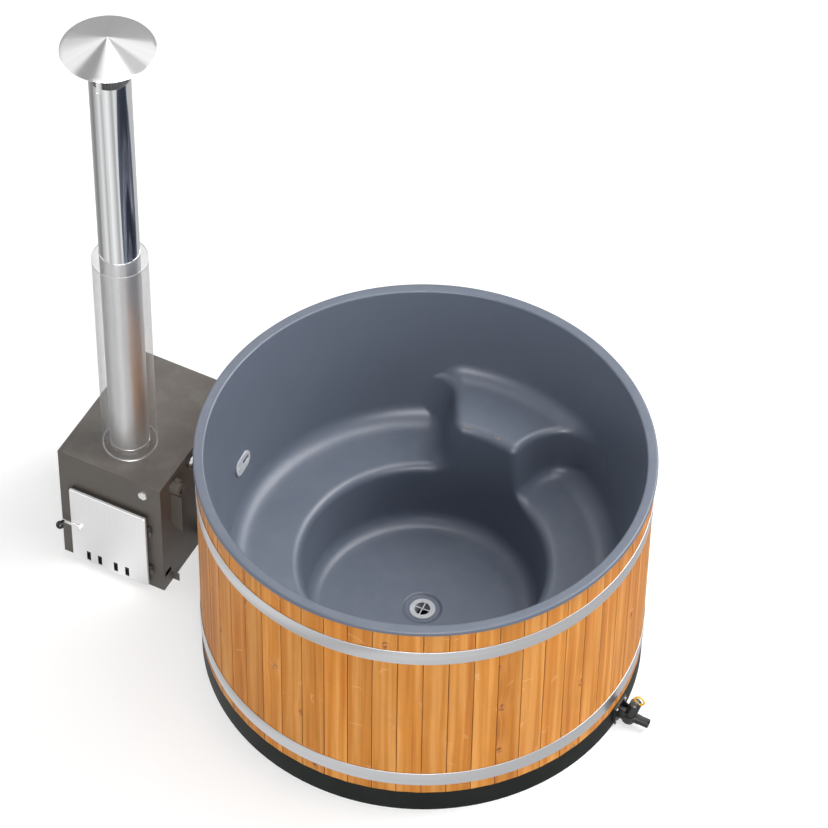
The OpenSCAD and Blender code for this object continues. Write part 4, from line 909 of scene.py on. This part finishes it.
def make_flue_steel():
    """The flue: bright above its joint, duller below it, with faint long waves from drawing, and plain, not
    metallic, inside."""
    roughness = 0.07
    mat, tree, shader = new_material("flue_steel", roughness, 1.0)
    place, x, y, height = turned_place(tree, FLUE_AT)
    surface = lined(tree, shader, place, (0.86, 0.865, 0.875), (0.83, 0.835, 0.845), roughness, 0.05)
    duller = ease(tree, height, FLUE_JOINT - 0.002, FLUE_JOINT + 0.001, 0.27, 0.0)
    tree.links.new(calc(tree, "ADD", surface["Roughness"], duller), shader.inputs["Roughness"])
    raise_by(tree, shader, lain_noise(tree, object_place(tree), (46.0, 46.0, 0.7)), 0.0006)
    outside = ease(tree, length(tree, x, y), FLUE_R - 0.0015, FLUE_R - 0.0005)
    tree.links.new(outside, shader.inputs["Metallic"])
    return mat


def make_guard_mesh():
    """The guard's sheet, full of round holes in staggered rows: a point is open where it is nearer
    than the holes' radius to the middle of a hole in either of two square lattices."""
    mat, tree, shader = new_material("guard_mesh", 0.42, 1.0)
    x, y, height = turned_place(tree, FLUE_AT)[1:]
    surface = use(tree, MOTTLE, {"Place": object_place(tree), "Colour": rgb(0.80, 0.80, 0.80),
                                 "Other": rgb(0.72, 0.72, 0.725), "Cloud Scale": 9.0, "Grain Scale": 300.0,
                                 "Roughness": 0.42, "Roughness Spread": 0.12})
    feed(tree, shader, surface)
    round_way = times(tree, calc(tree, "ARCTAN2", y, x), GUARD_HOLES_ROUND / (2 * math.pi))
    rise = GUARD_PITCH * math.sqrt(3)
    up_way = calc(tree, "DIVIDE", height, rise)
    gaps = []
    for shift in (0.0, 0.5):
        parts = []
        for value, size in ((round_way, GUARD_PITCH), (up_way, rise)):
            share = minus(tree, calc(tree, "FRACT", calc(tree, "ADD", value, shift)), 0.5)
            parts.append(times(tree, share, size))
        gaps.append(length(tree, *parts))
    nearest = calc(tree, "MINIMUM", *gaps)
    sheet = ease(tree, nearest, GUARD_HOLE_R * 0.94, GUARD_HOLE_R * 1.06)
    low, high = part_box("heat_guard")
    foot = ease(tree, height, low[2] + GUARD_HEM + 0.001, low[2] + GUARD_HEM)
    head = ease(tree, height, high[2] - GUARD_HEM - 0.001, high[2] - GUARD_HEM)
    tree.links.new(calc(tree, "MAXIMUM", sheet, calc(tree, "MAXIMUM", foot, head)), shader.inputs["Alpha"])
    return mat


# Paint, plastic, rubber, foam and rough metal: two colours, roughness and its spread, the scales of the
# cloud and the grain, the relief, and what else the finish has
MOTTLED = {
    "liner_shell": ((0.134, 0.156, 0.203), (0.127, 0.149, 0.195), 0.38, 0.05, 5.0, 700.0, 0.00003,
                    {"dust": 0.05}),
    "fastener": ((0.86, 0.86, 0.87), (0.78, 0.78, 0.80), 0.34, 0.2, 60.0, 900.0, 0.00002,
                 {"metallic": 1.0, "rub": (0.75, 0.75, 0.76)}),
    "foam": ((0.80, 0.70, 0.42), (0.70, 0.58, 0.32), 0.92, 0.05, 40.0, 260.0, 0.0015, {}),
    "band_plastic": ((0.011, 0.014, 0.012), (0.008, 0.011, 0.009), 0.50, 0.12, 8.0, 900.0, 0.00005,
                     {"dust": 0.08, "Specular_IOR_Level": 0.12}),
    "drain_plastic": ((0.60, 0.61, 0.64), (0.52, 0.53, 0.56), 0.32, 0.08, 30.0, 800.0, 0.00003,
                      {"rub": (0.70, 0.71, 0.73)}),
    "rubber": ((0.030, 0.030, 0.031), (0.020, 0.020, 0.021), 0.72, 0.1, 25.0, 500.0, 0.0002, {}),
    "black_plastic": ((0.016, 0.017, 0.017), (0.011, 0.012, 0.012), 0.34, 0.12, 22.0, 700.0, 0.00008,
                      {"dust": 0.12, "rub": (0.045, 0.046, 0.047)}),
    "yellow_plastic": ((0.86, 0.50, 0.012), (0.78, 0.42, 0.010), 0.30, 0.06, 40.0, 900.0, 0.00003, {}),
    "stove_paint": ((0.114, 0.101, 0.089), (0.105, 0.093, 0.081), 0.50, 0.08, 7.0, 900.0, 0.00006,
                    {"dust": 0.10, "rub": (0.20, 0.185, 0.17)}),
    "raw_steel": ((0.22, 0.215, 0.21), (0.13, 0.115, 0.10), 0.55, 0.3, 16.0, 300.0, 0.0001,
                  {"metallic": 0.8}),
    # Near-black steel: painted shade for the gap behind the door's face
    "gap_shade_steel": ((0.040, 0.037, 0.034), (0.022, 0.020, 0.018), 0.75, 0.15, 22.0, 400.0, 0.0001, {}),
    "cast_grate": ((0.09, 0.085, 0.08), (0.06, 0.05, 0.045), 0.85, 0.1, 40.0, 220.0, 0.0005,
                   {"metallic": 0.4}),
    "seal_rope": ((0.055, 0.052, 0.050), (0.030, 0.028, 0.027), 0.92, 0.05, 60.0, 500.0, 0.0006, {}),
    "knob": ((0.012, 0.012, 0.013), (0.009, 0.009, 0.010), 0.16, 0.05, 30.0, 900.0, 0.00001, {}),
}

FINISH = {name: mottled(name, *values, **more) for name, (*values, more) in MOTTLED.items()}
FINISH |= {
    "wood": make_wood(),
    "raw_wood": make_raw_wood(),
    "flue_steel": make_flue_steel(),
    "guard_mesh": make_guard_mesh(),
    "cap_steel": turned_metal("cap_steel", FLUE_AT, (0.95, 0.95, 0.955), (0.90, 0.90, 0.905), 0.15, 0.08,
                              lines=700.0),
    "hoop_steel": turned_metal("hoop_steel", (0.0, 0.0), (0.74, 0.745, 0.76), (0.64, 0.645, 0.66), 0.34,
                               0.12, along_height=False),
    "grate_steel": brushed("grate_steel", (0.60, 0.61, 0.62), (0.50, 0.51, 0.53), 0.34, 0.15, (0, 1)),
    "plug_metal": brushed("plug_metal", (0.92, 0.92, 0.91), (0.82, 0.82, 0.81), 0.45, 0.15),
    "door_steel": brushed("door_steel", (0.90, 0.895, 0.90), (0.87, 0.865, 0.87), 0.56, 0.08),
}


# ---------------------------------------------------------------- eased copies of the CAD pieces

def flat_shading(piece, angle):
    """Keeps edges sharper than the angle hard, and evens the shading of what lies between them."""
    piece.data.set_sharp_from_angle(angle=math.radians(angle))
    piece.modifiers.new("even_shading", "WEIGHTED_NORMAL").keep_sharp = True


def eased(node, width, body=TUB):
    """A merged copy of a CAD node whose sharp edges are cut back to two narrow faces. The copy
    carries `edge`, 1 on the new faces and 0 elsewhere, for the rubbed edges."""
    shape = bmesh.new()
    shape.from_mesh(NODES[node].data)
    bmesh.ops.remove_doubles(shape, verts=shape.verts, dist=0.00002)
    bmesh.ops.dissolve_limit(shape, angle_limit=math.radians(0.7), verts=shape.verts, edges=shape.edges)
    edge = shape.faces.layers.float.new("edge")
    sharp, folded = math.radians(32), math.radians(178)
    corners = [e for e in shape.edges if len(e.link_faces) == 2 and sharp < e.calc_face_angle(0.0) < folded]
    cut = bmesh.ops.bevel(shape, geom=corners, offset=width, offset_type="OFFSET", segments=2, profile=0.5,
                          affect="EDGES", clamp_overlap=True)
    for face in cut["faces"]:
        face[edge] = 1.0
    bmesh.ops.triangulate(shape, faces=[f for f in shape.faces if len(f.verts) > 4])
    for face in shape.faces:
        face.smooth = True
    mesh = bpy.data.meshes.new(node + "_eased")
    shape.to_mesh(mesh)
    shape.free()
    mesh.materials.clear()
    piece = put_piece(node + "_eased", mesh, SLOT_OF[node], body)
    flat_shading(piece, 50)
    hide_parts(node)


# ---------------------------------------------------------------- flue, guard and cap

def ring_of(section, steps, centre):
    """The points and faces of a closed section turned once about an upright axis."""
    points = lathe(section, full_turn(steps), centre)
    return points.reshape(-1, 3), grid_faces(*points.shape[:2], along=True)


def make_flue_beads():
    """Two narrow beads on the flue, half a circle in section: its lower edge and its joint."""
    bead, back = 0.0013, FLUE_R - 0.0012
    points, faces, count = [], [], 0
    for height in (FLUE_FOOT_EDGE, FLUE_JOINT):
        section = np.concatenate([arc((FLUE_R - 0.0004, height), bead, -90, 90, 9),
                                  [[back, height + bead], [back, height - bead]]])
        ring, quads = ring_of(section, 160, FLUE_AT)
        points.append(ring)
        faces.append(quads + count)
        count += len(ring)
    mesh_of("flue_beads", np.concatenate(points), np.concatenate(faces).tolist(), "flue_steel")


def make_guard():
    """A thin sheet wall turned about the flue's axis, with its top and bottom edges curled to beads."""
    low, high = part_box("heat_guard")
    middle, half = high[0] - FLUE_AT[0] - GUARD_BEAD, GUARD_SHEET / 2
    foot, head = (middle, low[2] + GUARD_BEAD), (middle, high[2] - GUARD_BEAD)
    bottom, top = low[2] + GUARD_HEM, high[2] - GUARD_HEM
    section = np.concatenate([
        arc(foot, GUARD_BEAD, -90, 78, 7), [[middle + half, bottom], [middle + half, top]],
        arc(head, GUARD_BEAD, -78, 258, 13), [[middle - half, top], [middle - half, bottom]],
        arc(foot, GUARD_BEAD, 102, 270, 9)[:-1]])
    points, faces = ring_of(section, 160, FLUE_AT)
    piece = mesh_of("guard_sheet", points, faces.tolist(), "guard_mesh")
    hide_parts("heat_guard")


def make_cap():
    """A spun cone: a small round point, a straight slope, and an edge rolled under. The underside is
    the slope moved in by the sheet's thickness. Both poles are closed with one face each."""
    low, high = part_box("rain_cap")
    outer = high[0] - FLUE_AT[0]
    rise = high[2] - (low[2] + 0.0028)
    slope = math.atan2(rise, outer)
    roll, sheet = 0.0014, 0.0012
    tip = np.array([[0.0006, high[2] - 0.0009], [0.0022, high[2] - 0.0013], [0.0042, high[2] - 0.0021]])
    hem = np.array([outer - roll, low[2] + roll])
    rolled = arc(hem, roll, 90 - math.degrees(slope), -200, 12)
    away = np.linspace(0, 1, 14)[1:-1, None]
    top = tip[-1] + (rolled[0] - tip[-1]) * away
    under_tip = np.array([0.0006, high[2] - 0.0009 - 2 * sheet])
    back = rolled[-1] + (under_tip - rolled[-1]) * np.linspace(0, 1, 12)[1:, None]
    section = np.concatenate([tip, top, rolled, back])[::-1]
    points = lathe(section, full_turn(180), FLUE_AT)
    piece = mesh_of("cap_cone", points, tube_faces(points), "cap_steel")
    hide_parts("rain_cap")


# ---------------------------------------------------------------- door

def swept(outline, section):
    """The points of a section carried round a closed outline in the door's plane. The outline is given
    as points (x, z) and their outward directions, and the section as (inset, y): point = outline -
    inset * outward."""
    line, outward = outline
    inset, y = section[:, 0][:, None], section[:, 1][:, None]
    x = line[:, 0] - inset * outward[:, 0]
    z = line[:, 1] - inset * outward[:, 1]
    return np.stack([x, np.broadcast_to(y, x.shape), z], axis=-1)


def frame_sweep(name, outline, section, slot, finish=None):
    """A piece of the door that is one closed section carried round an outline."""
    points = swept(outline, section)
    faces = grid_faces(*points.shape[:2], along=True)[:, ::-1]
    return mesh_of(name, points, faces.tolist(), slot, "door", finish=finish)


def door_outline(low, high, inset, radius):
    """A rounded rectangle in the door's plane and the outward direction at each of its points."""
    line = rounded_rectangle((low[0] + inset, low[2] + inset), (high[0] - inset, high[2] - inset), radius, 7)
    turn = np.radians(np.concatenate([np.linspace(a, a + 90, 7) for a in (-90, 0, 90, 180)]))
    return line, np.stack([np.cos(turn), np.sin(turn)], axis=-1)


def make_door_pan():
    """A folded pan. Its rim is a section (flat edge, round fold, short side, and back inside) carried
    round a rounded rectangle, and its face and the face's back are flat sheets with four round-cornered
    slots, joined by the slots' walls."""
    low, high = zip(DOOR_X, DOOR_Y, DOOR_Z)
    face, back, fold_end = low[1], low[1] + DOOR_SHEET, low[1] + DOOR_FOLD
    fold = arc((0.0032, face + 0.0032), 0.0032, -90, -180, 6)
    section = np.concatenate([fold, [[0.0, fold_end - 0.0006], [0.0006, fold_end], [0.0014, fold_end],
                                     [DOOR_SHEET, fold_end - 0.0006], [DOOR_SHEET, face + 0.0034],
                                     [0.0034, back]]])
    rings = swept(door_outline(low, high, 0.0, 0.007), section)
    columns = rings.shape[1]
    points, faces = [rings.reshape(-1, 3)], grid_faces(*rings.shape[:2])[:, ::-1].tolist()
    count = len(points[0])
    slots = [rounded_rectangle((x - SLOT_HALF, SLOT_Z[0]), (x + SLOT_HALF, SLOT_Z[1]), 0.0012, 3)
             for x in SLOT_XS]
    sheets = []
    for y, ring, first, facing in ((face, rings[0], 0, -1), (back, rings[-1], count - columns, 1)):
        holes = [np.insert(slot, 1, y, axis=1) for slot in slots]
        place = np.concatenate([ring] + holes)
        numbers = np.concatenate([first + np.arange(columns), count + np.arange(len(place) - columns)])
        for a, b, c in tessellate_polygon([[tuple(point) for point in loop] for loop in (ring, *holes)]):
            side = np.cross(place[b] - place[a], place[c] - place[a])[1]
            faces.append(numbers[[a, b, c] if side * facing > 0 else [a, c, b]].tolist())
        sheets.append(numbers[columns:].reshape(len(holes), -1))
        points += holes
        count += len(place) - columns
    for before, behind in zip(*sheets):
        faces += np.stack([before, behind, np.roll(behind, -1), np.roll(before, -1)], axis=-1).tolist()
    piece = mesh_of("door_pan", np.concatenate(points), faces, "door_steel", "door")
    flat_shading(piece, 35)
    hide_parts("door")


def make_door_channel():
    """The box section behind the door's face, whose back carries the seal. Its near-black finish is painted
    shade for the gap behind the door.
    """
    near = DOOR_Y[0] + 0.0024
    section = np.array([[0.0, near], [0.0, SEAL_Y - 0.0004], [0.0006, SEAL_Y], [0.0094, SEAL_Y],
                        [0.0100, SEAL_Y - 0.0004], [0.0100, near]])
    outline = door_outline(*zip(DOOR_X, DOOR_Y, DOOR_Z), 0.003, 0.006)
    piece = frame_sweep("door_channel", outline, section, "raw_steel", "gap_shade_steel")
    flat_shading(piece, 35)


def make_door_rope():
    """The seal as a round rope that fills the width and depth of the solid seal."""
    low_seal, high_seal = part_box("door_seal")
    middle, half = (low_seal[1] + high_seal[1]) / 2, (high_seal[1] - low_seal[1]) / 2
    bend = full_turn(20)
    rope = np.stack([0.005 - 0.005 * np.cos(bend), middle - half * np.sin(bend)], axis=-1)
    rope_piece = frame_sweep("door_rope", door_outline(low_seal, high_seal, 0.0, 0.010), rope, "seal_rope")
    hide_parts("door_seal")


def make_hinge_leaves():
    """On the door's side each hinge has a knuckle, a ring about the pin, and a leaf: a rounded rectangle in
    section, drawn upwards, that reaches behind the door's folded edge to its channel."""
    points, faces, count = [], [], 0
    for z in HINGE_ZS:
        z0, z1 = z + 0.0263, z + 0.0523
        ring = np.array([[0.0043, z0 + 0.0004], [0.0046, z0], [0.0065, z0], [0.0070, z0 + 0.0005],
                         [0.0070, z1 - 0.0005], [0.0065, z1], [0.0046, z1], [0.0043, z1 - 0.0004]])
        knuckle, quads = ring_of(ring, 40, PIN_AT)
        points.append(knuckle)
        faces += (quads + count).tolist()
        count += len(knuckle)
        near, far = (DOOR_X[1] - 0.0040, PIN_AT[1] - 0.0068), (PIN_AT[0] - 0.0045, PIN_AT[1] - 0.0030)
        outline = rounded_rectangle(near, far, 0.0006, 3)
        leaf = np.stack([np.column_stack([outline, np.full(len(outline), h)]) for h in (z0, z1)])
        points.append(leaf.reshape(-1, 3))
        faces += tube_faces(leaf, count)
        count += len(points[-1])
    points = np.concatenate(points)
    # The leaves are near-black as painted shade in the gap beside the door
    piece = mesh_of("door_leaves", points, faces, "stove_paint", "door", finish="gap_shade_steel")
    flat_shading(piece, 35)


def turned_about(at, side, up, out, section, steps):
    """The points and faces of a section of (radius, reach), turned about an axis through `at`: point =
    at + radius (cos a side + sin a up) + reach out."""
    a = full_turn(steps)[None, :, None]
    radius, reach = (section[:, i][:, None, None] for i in (0, 1))
    points = at + radius * (np.cos(a) * side + np.sin(a) * up) + reach * out
    return points.reshape(-1, 3), tube_faces(points)


def make_latch_nut():
    """A domed nut in front of the latch bar, on the latch's own axis: a part of a circle turned about
    it."""
    section = np.concatenate([[[0.0072, -0.0030], [0.0078, -0.0026]], arc((0.0, 0.0), 0.0078, 0, 86, 9)])
    east, north, up = np.eye(3)
    points, faces = turned_about(np.array(LATCH_AT), east, up, -north, section, 32)
    piece = mesh_of("latch_nut", points, faces, "fastener", "latch")
    flat_shading(piece, 50)


def make_pipe_mouth_shade():
    """Painted shade for the mouth of the pipe behind the wall fitting's cover: a dark shallow cup turned
    about the fitting's own axis, which points at the tub's axis and up by the wall's lean."""
    level = math.cos(WALL_LEAN)
    inward = np.array([math.cos(FITTING_TURN) * level, math.sin(FITTING_TURN) * level, math.sin(WALL_LEAN)])
    side = np.cross((0, 0, 1), inward)
    side /= np.linalg.norm(side)
    cup = np.array([[0.0230, -0.0010], [0.0225, 0.0012], [0.0215, 0.0014], [0.0190, 0.0006],
                    [0.0170, 0.0002], [0.0003, 0.0002]])
    points, faces = turned_about(np.array(FITTING_AT), side, np.cross(inward, side), inward, cup, 48)
    # Painted shade: a dark rubber-finished cup where the liner has no hole
    mesh_of("painted_shade_cup", points, faces, "rubber")


SLOT_OF = {part["node"]: part["material_slot"] for part in frame["record"]["subparts"]}

# Fasteners that were painted together with the stove
PAINTED = ("casing_screw", "hinge_pins")
for node, slot in SLOT_OF.items():
    NODES[node].data.materials.clear()
    NODES[node].data.materials.append(FINISH["stove_paint" if node in PAINTED else slot])

# The CAD pieces whose edges are cut back, and by how much
EASED = {"stove_wrap": 0.0009, "stove_front": 0.0008, "stove_back": 0.0008, "valve_body": 0.0012,
         "hex_plug": 0.0012, "latch": 0.0007, "fitting_cover": 0.0020, "outlet_clamp": 0.0008,
         "side_brackets": 0.0005, "spare_outlet": 0.0006, "drain_flange": 0.0010, "drain_grate": 0.0006,
         "ground_boards": 0.0020, "hoop_lugs": 0.0010, "hinge_knuckles": 0.0006, "cap_legs": 0.0004}

set_camera()
lay_floor()
set_world()
set_lamps()
make_liner()
make_staves()
make_hoop("hoop_upper")
make_hoop("hoop_lower")
make_pipe_mouth_shade()
make_flue_beads()
make_guard()
make_cap()
make_door_pan()
make_door_channel()
make_door_rope()
make_hinge_leaves()
make_latch_nut()
for node, width in EASED.items():
    eased(node, width, body="latch" if node == "latch" else TUB)

bpy.context.scene.view_settings.view_transform = "Standard"
